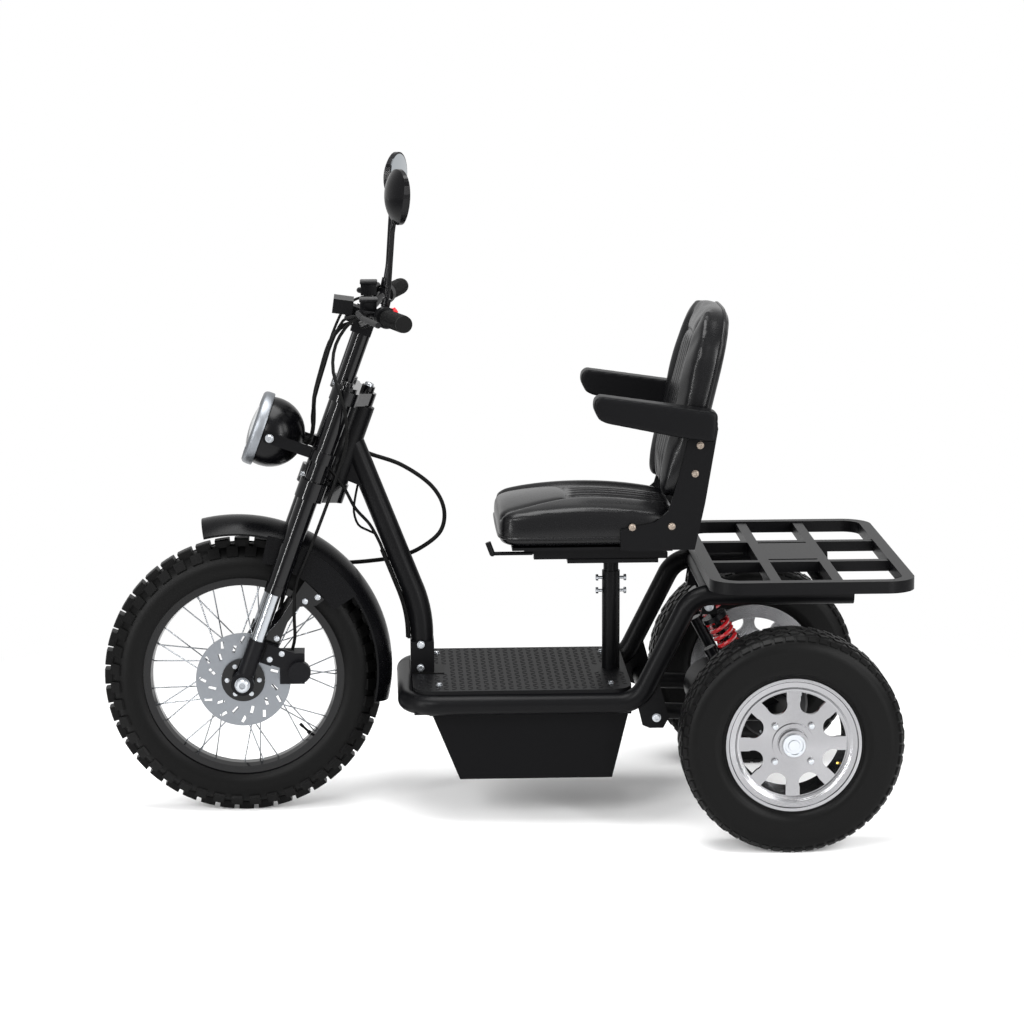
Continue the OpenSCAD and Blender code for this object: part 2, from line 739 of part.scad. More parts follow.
// Outline of a mirror head, wide end up
function mirror_edge(n) = [for (i = [0:n - 1]) let (a = i * 360 / n)
    [46 * cos(a) * (1 + 0.18 * sin(a)), 56 * sin(a)]];

module mirror_head() {
    intersection() {
        translate([0, 0, -4]) linear_extrude(30) polygon(mirror_edge(40));
        translate([0, 0, -64]) sphere(r = 88);
    }
}

module mirrors() color("#0e0e10") steer() both() {
    perch = bar_end - grip_dir * (perch_at);
    root = perch + [2, 0, 19.6 + slide_gap];
    head = perch + [52, 60, 244];
    bent([root, root + [8, 8, 46], head + [-10, -6, -66], head], 5, 30);
    rod(root, root + [2, 1, 18], 9);
    translate(head) rotate([0, rake, 0]) rotate([0, 0, 24]) rotate([90, 0, 90]) mirror_head();
}

module lamp_axis() {
    steer() translate([0, 0, lamp_s]) rotate([0, 90, 0]) children();
}

module headlamp_shell() color("#141416") lamp_axis() rotate_extrude($fn = 96) intersection() {
    translate([0, bucket_back + bowl_r]) difference() {
        circle(bowl_r, $fn = 96);
        circle(bowl_r - 4, $fn = 96);
    }
    translate([0, bucket_back - 1]) square([lamp_r, lamp_x - 9 - bucket_back]);
}

module headlamp_ring() color("#d5d8db") lamp_axis() rotate_extrude() polygon([
    [lamp_r - 4, lamp_x - 9.8], [lamp_r, lamp_x - 8], [lamp_r, lamp_x + 2], [lamp_r - 4, lamp_x + 6],
    [lamp_r - 12, lamp_x + 4], [lamp_r - 12, lamp_x], [lamp_r - 10, lamp_x - 9.8]
]);

module headlamp_lens() color("#e6eef2") lamp_axis() intersection() {
    translate([0, 0, lamp_x - 6]) cylinder(r = lamp_r - 12.2, h = 30);
    difference() {
        translate([0, 0, lamp_x - 170]) sphere(r = 184);
        translate([0, 0, lamp_x - 176]) sphere(r = 184);
    }
}

module headlamp_bracket() color("#202023") steer() both() {
    translate([fork_offset, fork_half, lamp_s - 12]) difference() {
        cylinder(r = fork_r + 5, h = 24);
        translate([0, 0, -1]) cylinder(r = fork_r + seat_gap / 2, h = 26);
    }
    translate([fork_offset + fork_r + 2, lamp_r + 2, lamp_s - 12]) cube([lamp_x - fork_offset - fork_r - 22, 4, 24]);
    translate([fork_offset + 8, lamp_r + 2, lamp_s - 12]) difference() {
        cube([fork_r + 2, 4, 24]);
        translate([-8, fork_half - lamp_r - 2, -1]) cylinder(r = fork_r + seat_gap / 2, h = 26);
    }
    translate([lamp_x - 32, bowl_r + 0.2, lamp_s]) rotate([-90, 0, 0]) cylinder(r = 7, h = lamp_r + 10 - bowl_r);
}

module fender_axis() {
    front_spin() translate([11, 17, 0]) children();
}

module front_fender() color("#17171a") fender_axis() {
    rotate([0, 0, fender_from])
        rotate_extrude(angle = fender_to - fender_from)
            intersection() {
                translate([fender_r - crown_r, 0]) difference() {
                    circle(crown_r);
                    circle(crown_r - fender_t);
                }
                translate([fender_r - crown_r + 20, -fender_half]) square([crown_r, 2 * fender_half]);
            }
    for (z = [-fender_out, fender_out - fender_t])
        translate([0, 0, z])
            rotate([0, 0, 103])
                rotate_extrude(angle = 44)
                    translate([fender_r - 84, 0]) square([59, fender_t]);
}

module fender_stays() color("#202023") steer() both()
    upright([
        [fork_offset - 45, 54], [fork_offset - 8, 54], [fork_offset - 8, 98], [fork_offset - 30, 150],
        [fork_offset - 52, 246], [fork_offset - 104, 222], [fork_offset - 92, 204], [fork_offset - 60, 190],
        [fork_offset - 47, 150]
    ], fender_out, ear_y);

module front_axle() color("#b9bcc0") front_spin() {
    cylinder(r = axle_r, h = 2 * fork_half + 50, center = true);
    for (z = [-fork_half - 27, fork_half + 18])
        translate([0, 0, z]) cylinder(r = 15, h = 9);
}

module brake_caliper() color("#19191b") steer() difference() {
    union() {
        translate([fork_offset, 36, 0]) rotate([0, 20, 0]) translate([-disc_r - 30, 0, -4]) cube([52, 54, 66]);
        translate([fork_offset - 100, 85, 56]) cube([77, 5, 40]);
        translate([fork_offset - 105, 88, 63]) rotate([-90, 0, 0]) cylinder(r = 23, h = 18);
    }
    translate([fork_offset, disc_y - 5, 0]) rotate([0, 20, 0])
        translate([-disc_r - 8, 0, -40]) cube([disc_r - 50, disc_t + 10, 140]);
}

// A point of the front tyre's section, h from its middle and a degrees off the crown
function on_tyre(h, a) = [front_mid_r + h * cos(a), h * sin(a)];

// One tread block, centred at turn a of the wheel
module lug(a, span, pts) {
    rotate([0, 0, a - span / 2])
        rotate_extrude(angle = span)
            polygon(pts);
}

module front_tyre() color("#161616") front_spin() {
    pitch = 360 / lugs;
    low = front_sec_r - 6;
    crown = [[front_mid_r + low, -19], [front_r - 1.5, -18], [front_r, -13], [front_r, 13], [front_r - 1.5, 18],
        [front_mid_r + low, 19]];
    edge = [on_tyre(low, 31), on_tyre(front_sec_r + lug_h - 4, 34), on_tyre(front_sec_r + lug_h / 2 - 1, 60),
        on_tyre(low, 66)];
    rotate_extrude($fn = 120) {
        difference() {
            translate([front_mid_r, 0]) circle(r = front_sec_r);
            translate([front_mid_r - 100, -80]) square([100 - front_mid_r + front_rim_r + seat_gap, 160]);
        }
        translate([front_bead_r + seat_gap, 4.2 - front_rim_w])
            square([front_rim_r - front_bead_r + 4, 2 * (front_rim_w - 4.2)]);
    }
    for (i = [0:lugs - 1]) {
        lug(i * pitch, pitch * 0.74, crown);
        lug((i + 0.5) * pitch, pitch * 0.6, edge);
        lug((i + 0.5) * pitch, pitch * 0.6, [for (q = edge) [q.x, -q.y]]);
    }
}

module front_rim() color("#19191b") front_spin() rotate_extrude($fn = 120) polygon([
    [front_bead_r - 6, -12], [front_bead_r - 6, 12], [front_bead_r - 2, front_rim_w], [front_rim_r, front_rim_w],
    [front_rim_r, front_rim_w - 4], [front_bead_r, front_rim_w - 4], [front_bead_r, 4 - front_rim_w],
    [front_rim_r, 4 - front_rim_w], [front_rim_r, -front_rim_w], [front_bead_r - 2, -front_rim_w]
]);

// One spoke: side of the hub, lead or trail, turn of the wheel
module spoke(side, lead, a) {
    h = hub_flange_r - 5;
    r = front_bead_r - 3;
    y0 = side * (hub_flange_y + lead * 4);
    rod([h * cos(a), h * sin(a), y0], [r * cos(a + lead * 56), r * sin(a + lead * 56), side * 5], spoke_d / 2);
}

module front_spokes() color("#c4c7ca") front_spin() {
    per = spokes / 4;
    for (i = [0:per - 1])
        for (side = [-1, 1])
            for (lead = [-1, 1])
                spoke(side, lead, (i + 0.25 * lead + 0.125 * side) * 360 / per);
}

module front_hub() color("#19191b") front_spin() difference() {
    union() {
        cylinder(r = 22, h = 2 * hub_flange_y, center = true);
        for (z = [-hub_flange_y, hub_flange_y])
            translate([0, 0, z]) cylinder(r = hub_flange_r, h = 10, center = true);
        translate([0, 0, -disc_y]) cylinder(r = 30, h = disc_y);
        translate([0, 0, -disc_y - disc_t - 6]) cylinder(r = disc_in - seat_gap, h = 12);
        cylinder(r = 22, h = 62);
    }
    cylinder(r = axle_r + run_gap, h = 200, center = true);
}

module brake_disc() color("#b4b7ba") front_spin()
    translate([0, 0, -disc_y - disc_t]) difference() {
        cylinder(r = disc_r, h = disc_t, $fn = 120);
        translate([0, 0, -1]) cylinder(r = disc_in, h = disc_t + 2);
        for (i = [0:23])
            rotate([0, 0, i * 15]) translate([disc_r - 14 - 18 * (i % 2), 0, -1])
                rotate([0, 0, 30]) translate([-8, -3, 0]) cube([16, 6, disc_t + 2]);
    }

module rear_tyre() {
    side = rear_w / 2;
    r = (rear_r - rear_rim_r) * 0.35;
    flank = (rear_r - rear_rim_r) * 0.26;
    rear_spin() rotate_extrude($fn = 120) {
        translate([rear_rim_r + seat_gap, -side + flank / 2]) square([rear_r - r - rear_rim_r, 2 * side - flank]);
        translate([rear_rim_r + flank, -side]) square([rear_r - r - rear_rim_r - flank, 2 * side]);
        translate([rear_rim_r + flank, r - side]) square([rear_r - rear_rim_r - flank, 2 * side - 2 * r]);
        for (s = [-1, 1]) {
            translate([rear_r - r, s * (side - r)]) circle(r);
            intersection() {
                translate([rear_rim_r + flank, s * (side - flank)]) circle(flank);
                translate([rear_rim_r + seat_gap, -side]) square([2 * flank, 2 * side]);
            }
        }
        translate([rear_bead_r + seat_gap, 6.2 - rear_rim_w])
            square([rear_rim_r - rear_bead_r + 4, 2 * (rear_rim_w - 6.2)]);
    }
}

module rear_tyre_left() color("#161616") rear_tyre();
module rear_tyre_right() color("#161616") mirror([0, 1, 0]) rear_tyre();

// One window in the wheel face: round at its inner end and wider outwards
module window(inner, outer) {
    half = PI * (inner + 20) / windows - 13;
    intersection() {
        circle(outer);
        union() {
            translate([inner + half, 0]) circle(half);
            polygon([
                [inner + half, -half], [outer + 4, -half * 1.45], [outer + 4, half * 1.45], [inner + half, half]
            ]);
        }
    }
}

module rear_wheel() {
    rear_spin() difference() {
        union() {
            rotate_extrude($fn = 120) polygon([
                [rear_bead_r - 7, -rear_rim_w], [rear_rim_r, -rear_rim_w], [rear_rim_r, 6 - rear_rim_w],
                [rear_bead_r, 6 - rear_rim_w], [rear_bead_r, rear_rim_w - 6], [rear_rim_r, rear_rim_w - 6],
                [rear_rim_r, rear_rim_w - 2], [rear_rim_r - 2, rear_rim_w], [rear_rim_r - lip_w, rear_rim_w],
                [rear_rim_r - lip_w - 2, rear_rim_w - 3], [rear_bead_r + 2, rear_rim_w - 4],
                [rear_bead_r - 3, rear_rim_w - 8], [rear_bead_r - 7, rear_rim_w - 9]
            ]);
            translate([0, 0, face_z - 9]) cylinder(r = rear_bead_r - 3, h = 9);
            translate([0, 0, -36]) cylinder(r = 36, h = face_z + 36);
            cylinder(r = 42, h = face_z + 4);
            cylinder(r = 30, h = face_z + 14);
            for (i = [0:3])
                rotate([0, 0, i * 90 + 45]) translate([52, 0, face_z - 2]) cylinder(r = 7, h = 8);
        }
        translate([0, 0, -40]) cylinder(r = stub_r + run_gap, h = 76);
        for (i = [0:windows - 1])
            rotate([0, 0, (i + 0.5) * 360 / windows])
                translate([0, 0, face_z - 10])
                    linear_extrude(12)
                        window(window_r, rear_bead_r - 10);
    }
}

module rear_wheel_left() color("#cfd2d5") rear_wheel();
module rear_wheel_right() color("#cfd2d5") mirror([0, 1, 0]) rear_wheel();

main_frame();
deck_plate();
battery_box();
battery_pack();
seat_post();
seat_rails();
rear_rack();
swing_arm();
transaxle();
shock_left();
shock_right();
springs();
wire_harness();
wire_lead();
loop_lead();
bar_wires();
brake_hose();
fork_tubes();
fork_sliders();
axle_lugs();
fork_clamps();
bar_risers();
handlebar();
grips();
switch_pods();
brake_levers();
dash_unit();
mirrors();
headlamp_shell();
headlamp_ring();
headlamp_lens();
headlamp_bracket();
front_fender();
fender_stays();
front_axle();
brake_caliper();
front_tyre();
front_rim();
front_spokes();
front_hub();
brake_disc();
rear_tyre_left();
rear_tyre_right();
rear_wheel_left();
rear_wheel_right();
seat_frame();
seat_cushion();
back_cushion();
armrest_left();
armrest_right();
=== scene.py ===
import json
import math
import bmesh
import bpy
from mathutils import Euler, Matrix, Vector


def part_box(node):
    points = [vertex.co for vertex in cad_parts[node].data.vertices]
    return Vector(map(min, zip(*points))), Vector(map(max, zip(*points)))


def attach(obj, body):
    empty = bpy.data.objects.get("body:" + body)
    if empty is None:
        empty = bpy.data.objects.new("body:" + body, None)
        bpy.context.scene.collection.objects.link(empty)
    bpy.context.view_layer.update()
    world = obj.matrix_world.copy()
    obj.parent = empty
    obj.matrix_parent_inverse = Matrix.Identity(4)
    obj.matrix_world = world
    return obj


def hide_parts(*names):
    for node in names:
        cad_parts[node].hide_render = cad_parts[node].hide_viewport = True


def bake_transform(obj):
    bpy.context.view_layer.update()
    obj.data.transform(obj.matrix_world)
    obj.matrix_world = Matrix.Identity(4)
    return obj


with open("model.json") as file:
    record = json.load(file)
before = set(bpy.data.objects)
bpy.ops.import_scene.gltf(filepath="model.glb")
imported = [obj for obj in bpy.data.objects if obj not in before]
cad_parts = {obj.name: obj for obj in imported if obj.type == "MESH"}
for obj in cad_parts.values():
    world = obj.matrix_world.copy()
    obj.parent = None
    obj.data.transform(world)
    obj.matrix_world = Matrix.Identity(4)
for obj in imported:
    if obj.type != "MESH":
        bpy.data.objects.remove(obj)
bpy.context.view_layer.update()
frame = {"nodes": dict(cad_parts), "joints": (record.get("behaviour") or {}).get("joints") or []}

# Studio: a pale seamless floor, an even white surround, three soft boxes and two strip lamps.
# The floor keeps a soft shadow under the wheels; the surround shows white to the eye and in
# reflections, and gives less light to the scooter itself.
scene = bpy.context.scene
scene.view_settings.view_transform = "Standard"


def deselect():
    """Leaves object mode with nothing selected."""
    if bpy.context.object and bpy.context.object.mode != "OBJECT":
        bpy.ops.object.mode_set(mode="OBJECT")
    bpy.ops.object.select_all(action="DESELECT")


def linear(hex_colour):
    """An sRGB hex colour as the linear colour that shaders take."""
    parts = [int(hex_colour[i:i + 2], 16) / 255 for i in (0, 2, 4)]
    return (*[c / 12.92 if c <= 0.04045 else ((c + 0.055) / 1.055) ** 2.4 for c in parts], 1)


def add_node(tree, kind, links=(), **settings):
    """Adds one shader node, with its settings, its input values and its links."""
    node = tree.nodes.new(kind)
    for key, value in settings.items():
        if hasattr(node, key):
            setattr(node, key, value)
        else:
            node.inputs[key.replace("_", " ")].default_value = value
    for socket, source in links:
        tree.links.new(source, node.inputs[socket])
    return node


deselect()
bpy.ops.mesh.primitive_plane_add(size=24, location=(0, 0, 0))
floor = bpy.context.object
floor.name = "studio_floor"
# Matt studio paper: white to the eye far off, with part of the shadow kept near the wheels
paper = bpy.data.materials.new("white_studio_paper")
paper.use_nodes = True
tree = paper.node_tree
tree.nodes["Principled BSDF"].inputs["Base Color"].default_value = linear("f4f4f4")
tree.nodes["Principled BSDF"].inputs["Roughness"].default_value = 0.9
rays = add_node(tree, "ShaderNodeLightPath")
place = add_node(tree, "ShaderNodeTexCoord")
away = add_node(tree, "ShaderNodeVectorMath", [(0, place.outputs["Object"])], operation="LENGTH")
fade = add_node(tree, "ShaderNodeMapRange", [("Value", away.outputs["Value"])],
                From_Min=0.75, From_Max=1.9, To_Min=0.12, To_Max=1.0)
seen = add_node(tree, "ShaderNodeMath", [
    (0, rays.outputs["Is Camera Ray"]), (1, fade.outputs["Result"])], operation="MULTIPLY")
glow = add_node(tree, "ShaderNodeEmission", Strength=1.0)
both_ways = add_node(tree, "ShaderNodeMixShader", [
    (0, seen.outputs[0]), (1, tree.nodes["Principled BSDF"].outputs[0]), (2, glow.outputs[0])])
tree.links.new(both_ways.outputs[0], tree.nodes["Material Output"].inputs["Surface"])
floor.data.materials.append(paper)

world = bpy.data.worlds.new("studio_surround")
scene.world = world
world.use_nodes = True
tree = world.node_tree
rays = add_node(tree, "ShaderNodeLightPath")
shows = rays.outputs["Is Camera Ray"]
for kind in ("Is Glossy Ray", "Is Transmission Ray"):
    either = add_node(tree, "ShaderNodeMath", [(0, shows), (1, rays.outputs[kind])], operation="MAXIMUM")
    shows = either.outputs[0]
level = add_node(tree, "ShaderNodeMapRange", [("Value", shows)], To_Min=0.45, To_Max=1.0)
tree.links.new(level.outputs["Result"], tree.nodes["Background"].inputs["Strength"])
tree.nodes["Background"].inputs["Color"].default_value = (1, 1, 1, 1)


def soft_lamp(name, place, target, width, height, power):
    """A soft box or strip lamp at place, pointed at target."""
    bpy.ops.object.light_add(type="AREA", location=place)
    lamp = bpy.context.object
    lamp.name = name
    lamp.data.shape = "RECTANGLE"
    lamp.data.size = width
    lamp.data.size_y = height
    lamp.data.energy = power
    lamp.rotation_euler = (Vector(target) - Vector(place)).to_track_quat("-Z", "Y").to_euler()


soft_lamp("overhead_box", (0.2, 0.4, 3.2), (0, 0, 0.5), 2.0, 2.0, 150)
soft_lamp("camera_side_box", (1.6, 3.4, 2.4), (0.1, 0, 0.5), 1.2, 1.2, 80)
soft_lamp("rear_side_box", (-2.6, 1.6, 1.8), (-0.3, 0, 0.5), 1.5, 1.5, 70)
soft_lamp("front_strip", (2.6, 2.2, 1.3), (0.4, 0, 0.6), 0.12, 2.4, 75)
soft_lamp("rear_strip", (-1.9, 3.0, 1.3), (-0.2, 0, 0.6), 0.12, 2.4, 70)

# The camera's focal length in pixels, its place and its angles are fitted to the photograph
photo_px, focal_px, sensor_mm = 1024, 3200, 36
tilt_deg, turn_deg, roll_deg = 79.7, 177.58, -0.19
camera_data = bpy.data.cameras.new("photo_camera")
camera_data.sensor_width = sensor_mm
camera_data.lens = sensor_mm * focal_px / photo_px
camera = bpy.data.objects.new("photo_camera", camera_data)
scene.collection.objects.link(camera)
camera.location = (0.2535, 6.666, 1.850)
aim = Euler((math.radians(tilt_deg), 0, math.radians(turn_deg))).to_matrix()
camera.rotation_euler = (aim @ Matrix.Rotation(math.radians(roll_deg), 3, "Z")).to_euler()
scene.camera = camera

# Frame: welded round steel tube with plate brackets, powder coated satin black in one piece.
# The rack, the swing arm and the seat post are the same steel and coat, bolted on.
tyre_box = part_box("rear_tyre_left")
rear_axle_x = (tyre_box[0].x + tyre_box[1].x) / 2


def ground(x, y, z):
    """A point measured in millimetres from the floor under the rear axle's middle."""
    return Vector((rear_axle_x + x / 1000, y / 1000, z / 1000))


def surface(name, colour, roughness, grain_mm, depth_mm, metallic=0.0, coat=0.0, spread=0.06,
            specular=0.25):
    """A finish whose gloss and relief vary with a grain of a real size."""
    material = bpy.data.materials.new(name)
    material.use_nodes = True
    tree = material.node_tree
    shader = tree.nodes["Principled BSDF"]
    shader.inputs["Base Color"].default_value = linear(colour)
    shader.inputs["Metallic"].default_value = metallic
    shader.inputs["Specular IOR Level"].default_value = specular
    shader.inputs["Coat Weight"].default_value = coat
    shader.inputs["Coat Roughness"].default_value = 0.08
    place = add_node(tree, "ShaderNodeTexCoord")
    grain = add_node(tree, "ShaderNodeTexNoise", [("Vector", place.outputs["Object"])],
                     Scale=1000 / grain_mm, Detail=3)
    gloss = add_node(tree, "ShaderNodeMapRange", [("Value", grain.outputs[0])],
                     To_Min=roughness - spread, To_Max=roughness + spread)
    relief = add_node(tree, "ShaderNodeBump", [("Height", grain.outputs[0])],
                      Strength=0.6, Distance=depth_mm / 1000)
    tree.links.new(gloss.outputs["Result"], shader.inputs["Roughness"])
    tree.links.new(relief.outputs["Normal"], shader.inputs["Normal"])
    return material


def dress(material, *names):
    """Gives the named solids their finish."""
    for name in names:
        mesh = frame["nodes"][name].data
        mesh.materials.clear()
        mesh.materials.append(material)


# Powder coat on steel: satin, with the faint orange peel of melted powder
powder_coat = surface("satin_powder_coat", "060607", 0.36, 2.5, 0.04, specular=0.07)
dress(powder_coat, "main_frame", "seat_post", "seat_rails", "rear_rack", "swing_arm")


def select_faces(piece, wanted):
    """In edit mode, selects the faces whose centre and normal are wanted."""
    bpy.context.tool_settings.mesh_select_mode = (False, False, True)
    mesh = bmesh.from_edit_mesh(piece.data)
    for face in mesh.faces:
        face.select_set(wanted(face.calc_center_median(), face.normal))
    mesh.select_flush_mode()
    bmesh.update_edit_mesh(piece.data)


def facing(axis, along=None):
    """A turn that sets z on the axis and x as near to along as it can."""
    z = Vector(axis).normalized()
    if along is None:
        along = (1, 0, 0) if abs(z.x) < 0.9 else (0, 0, 1)
    x = Vector(along) - z * Vector(along).dot(z)
    x.normalize()
    return Matrix((x, z.cross(x), z)).transposed().to_4x4()


def cap_screw():
    """A cap screw on its washer, one unit in radius, standing on z = 0."""
    deselect()
    bpy.ops.mesh.primitive_cylinder_add(vertices=28, radius=1, depth=0.16, location=(0, 0, 0.08))
    screw = bpy.context.object
    bpy.ops.object.mode_set(mode="EDIT")
    select_faces(screw, lambda centre, normal: normal.z > 0.9)
    bpy.ops.mesh.inset(thickness=0.2)
    bpy.ops.mesh.extrude_region_move(TRANSFORM_OT_translate={"value": (0, 0, 0.5)})
    bpy.ops.mesh.inset(thickness=0.12)
    bpy.ops.transform.translate(value=(0, 0, 0.1))
    bpy.ops.mesh.inset(thickness=0.26)
    bpy.ops.mesh.extrude_region_move(TRANSFORM_OT_translate={"value": (0, 0, -0.3)})
    bpy.ops.object.mode_set(mode="OBJECT")
    bpy.ops.object.transform_apply(location=True)
    return screw


def pick(*pieces):
    """Selects these pieces alone and makes the first one active."""
    deselect()
    for piece in pieces:
        piece.select_set(True)
    bpy.context.view_layer.objects.active = pieces[0]


def scatter(source, name, places):
    """Copies the source to each place (point, turn, size in mm) and joins the copies as one piece."""
    copies = []
    for point, turn, size in places:
        copy = source.copy()
        copy.data = source.data.copy()
        copy.data.transform(Matrix.Translation(point) @ turn @ Matrix.Scale(size / 1000, 4))
        bpy.context.collection.objects.link(copy)
        copies.append(copy)
    pick(*copies)
    if len(copies) > 1:
        bpy.ops.object.join()
    piece = copies[0]
    piece.name = name
    piece.data.name = name
    return piece


def settle(piece, material, body):
    """Gives a new piece its finish and its body."""
    piece.data.materials.clear()
    piece.data.materials.append(material)
    pick(piece)
    bpy.ops.object.shade_smooth_by_angle(angle=math.radians(35))
    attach(piece, body)


def both_sides(x, y, z, size):
    """Screws of one size at the same place on the left and right sides."""
    return [(ground(x, side * y, z), facing((0, side, 0)), size) for side in (1, -1)]


# Zinc plated screws: bright, slightly milky
zinc = surface("zinc_plated_steel", "a3a6aa", 0.3, 1.5, 0.02, metallic=1.0)
screw = cap_screw()
mast_feet = both_sides(748, 31, 359, 8) + both_sides(749, 31, 309, 8)
pivots = both_sides(261, 204, 236, 9)
shock_bolts = both_sides(150, 173, 465, 10) + both_sides(46, 173, 270, 10)
settle(scatter(screw, "frame_screws", mast_feet + pivots + shock_bolts), zinc, "frame")


def thumb_screw():
    """A winged knob on a stub, one unit in radius, standing on z = 0."""
    deselect()
    bpy.ops.mesh.primitive_cylinder_add(vertices=16, radius=0.45, depth=1.2, location=(0, 0, 0.6))
    knob = bpy.context.object
    bpy.ops.object.mode_set(mode="EDIT")
    select_faces(knob, lambda centre, normal: normal.z > 0.9)
    bpy.ops.mesh.extrude_region_move(TRANSFORM_OT_translate={"value": (0, 0, 0.1)})
    bpy.ops.transform.resize(value=(2.2, 2.2, 1))
    bpy.ops.mesh.extrude_region_move(TRANSFORM_OT_translate={"value": (0, 0, 0.7)})
    bpy.ops.mesh.inset(thickness=0.15)
    bpy.ops.transform.translate(value=(0, 0, 0.1))
    bpy.ops.object.mode_set(mode="OBJECT")
    bpy.ops.object.transform_apply(location=True)
    return knob


post_x, sleeve_r, knob_sink = 342, 19, 1
knob_r, knob_heights = 7, (494, 466)
knob = thumb_screw()
knob_places = [(ground(post_x + side * (sleeve_r - knob_sink), 0, z), facing((side, 0, 0)), knob_r)
               for side in (1, -1) for z in knob_heights]
settle(scatter(knob, "post_thumbscrews", knob_places), zinc, "frame")
bpy.data.objects.remove(knob)

# Deck: a pressed steel floor plate in coarse black powder, screwed down on the rails.
# Its top is rolled in a raised pattern of short bars; a rubber collar closes it round the down tube.
deck_low, deck_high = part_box("deck_plate")
# Coarse powder coat: dull and sandy
rough_coat = surface("coarse_powder_coat", "070708", 0.48, 1.6, 0.1, specular=0.07)
dress(rough_coat, "deck_plate")
mast_x = 745
bar_half_l, bar_half_w, bar_height, bar_pitch = 7.5, 2.6, 0.9, 17
first_margin, last_margin, corner_inset, corner_r = 14, 10, 60, 50
foot_shift, foot_clear_x, foot_clear_y, post_clear, screw_clear = 8, 56, 44, 48, 13
deck_screws = [(352, 150), (352, -150), (712, 150), (712, -150)]
deck_top = deck_high.z * 1000
deselect()
bpy.ops.mesh.primitive_cylinder_add(vertices=10, radius=1, depth=bar_height,
                                    location=(0, 0, bar_height / 2))
bar = bpy.context.object
bar.scale = (bar_half_l, bar_half_w, 1)
bpy.ops.object.transform_apply(location=True, scale=True)
bpy.ops.object.mode_set(mode="EDIT")
select_faces(bar, lambda centre, normal: normal.z > 0.9)
bpy.ops.transform.resize(value=(0.82, 0.55, 1))
bpy.ops.object.mode_set(mode="OBJECT")
deck_from, deck_to = (1000 * (end.x - rear_axle_x) for end in (deck_low, deck_high))
deck_half = deck_high.y * 1000
margins = first_margin + last_margin
bar_sink = 0.1
bar_places = []
for i in range(int((deck_to - deck_from - margins) / bar_pitch) + 1):
    for k in range(int((2 * deck_half - margins) / bar_pitch) + 1):
        x = deck_from + first_margin + i * bar_pitch
        y = first_margin + k * bar_pitch - deck_half
        inset = (min(x - deck_from, deck_to - x), deck_half - abs(y))
        corner = math.hypot(*[max(0, corner_inset - gap) for gap in inset])
        near_foot = abs(x - mast_x - foot_shift) < foot_clear_x and abs(y) < foot_clear_y
        near_post = math.hypot(x - post_x, y) < post_clear
        near_screw = any(math.hypot(x - u, y - v) < screw_clear for u, v in deck_screws)
        if corner < corner_r and not (near_foot or near_post or near_screw):
            along = (1, 1 if (i + k) % 2 else -1, 0)
            bar_places.append((ground(x, y, deck_top - bar_sink), facing((0, 0, 1), along), 1))
settle(scatter(bar, "deck_bars", bar_places), rough_coat, "frame")
bpy.data.objects.remove(bar)
screw_places = [(ground(x, y, deck_top), facing((0, 0, 1)), 7) for x, y in deck_screws]
settle(scatter(screw, "deck_screws", screw_places), zinc, "frame")

# Rubber: nearly matt, with a fine moulded grain
soft_rubber = surface("moulded_black_rubber", "050505", 0.48, 2.0, 0.08, specular=0.06)
collar_from, collar_to, collar_half = mast_x - 46, deck_to - 3, 42
collar_t, collar_lift = 2, 1.1
foot_half_x, foot_half_y = 25.4, 31.4
deselect()
bpy.ops.mesh.primitive_cube_add(size=1, location=ground(mast_x, 0, deck_top))
hole = bpy.context.object
hole.scale = (foot_half_x / 500, foot_half_y / 500, 0.02)
collar_place = ground((collar_from + collar_to) / 2, 0, deck_top + collar_lift)
bpy.ops.mesh.primitive_cube_add(size=1, location=collar_place)
collar = bpy.context.object
collar.name = "mast_collar"
collar.scale = ((collar_to - collar_from) / 1000, collar_half / 500, collar_t / 1000)
cut = collar.modifiers.new("foot", "BOOLEAN")
cut.operation = "DIFFERENCE"
cut.object = hole
bpy.ops.object.modifier_apply(modifier=cut.name)
bpy.data.objects.remove(hole)
bpy.ops.object.transform_apply(location=True, scale=True)
settle(collar, soft_rubber, "frame")

# Battery box: a folded sheet box hung under the deck by its flange, with the pack closed inside.
# The sheet has a thin satin coat of its own, and film holds the cells of the pack together.
# Coated sheet: black and even, with little shine
box_coat = surface("satin_sheet_coat", "070708", 0.32, 2.2, 0.05, specular=0.04)
dress(box_coat, "battery_box")
# Shrink wrap round the cells: blue film with a soft gloss
wrap = surface("blue_shrink_film", "38527a", 0.4, 12, 0.2)
dress(wrap, "battery_pack")

# Rear drive: a cast housing with the motor in front of it and a steel stub axle each side.
# The casting keeps the fine pits of its mould under the paint; screws close its two halves.
# Painted casting: dark, with a pitted, broken shine
cast_paint = surface("painted_casting", "08080a", 0.4, 3.0, 0.15, specular=0.08)
dress(cast_paint, "transaxle")
rear_r = tyre_box[1].z * 500
axle_z = (tyre_box[0].z + tyre_box[1].z) * 500
flange_r, flange_face, flange_screws = 60, 66.5, 8
flange_places = []
for i in range(flange_screws):
    turn = 2 * math.pi * (i + 0.5) / flange_screws
    for side in (1, -1):
        point = ground(flange_r * math.cos(turn), side * flange_face, axle_z + flange_r * math.sin(turn))
        flange_places.append((point, facing((0, side, 0)), 6))
settle(scatter(screw, "drive_screws", flange_places), zinc, "frame")

# Shocks: coil-over dampers between the swing arm and the rear rails, each with a gas can.
# The bodies are black anodised, the springs red enamel.
# Anodised alloy: black with a dry metal shine
anodised = surface("black_anodised_alloy", "0a0a0c", 0.26, 1.2, 0.02, metallic=0.3, specular=0.12)
dress(anodised, "shock_left", "shock_right")
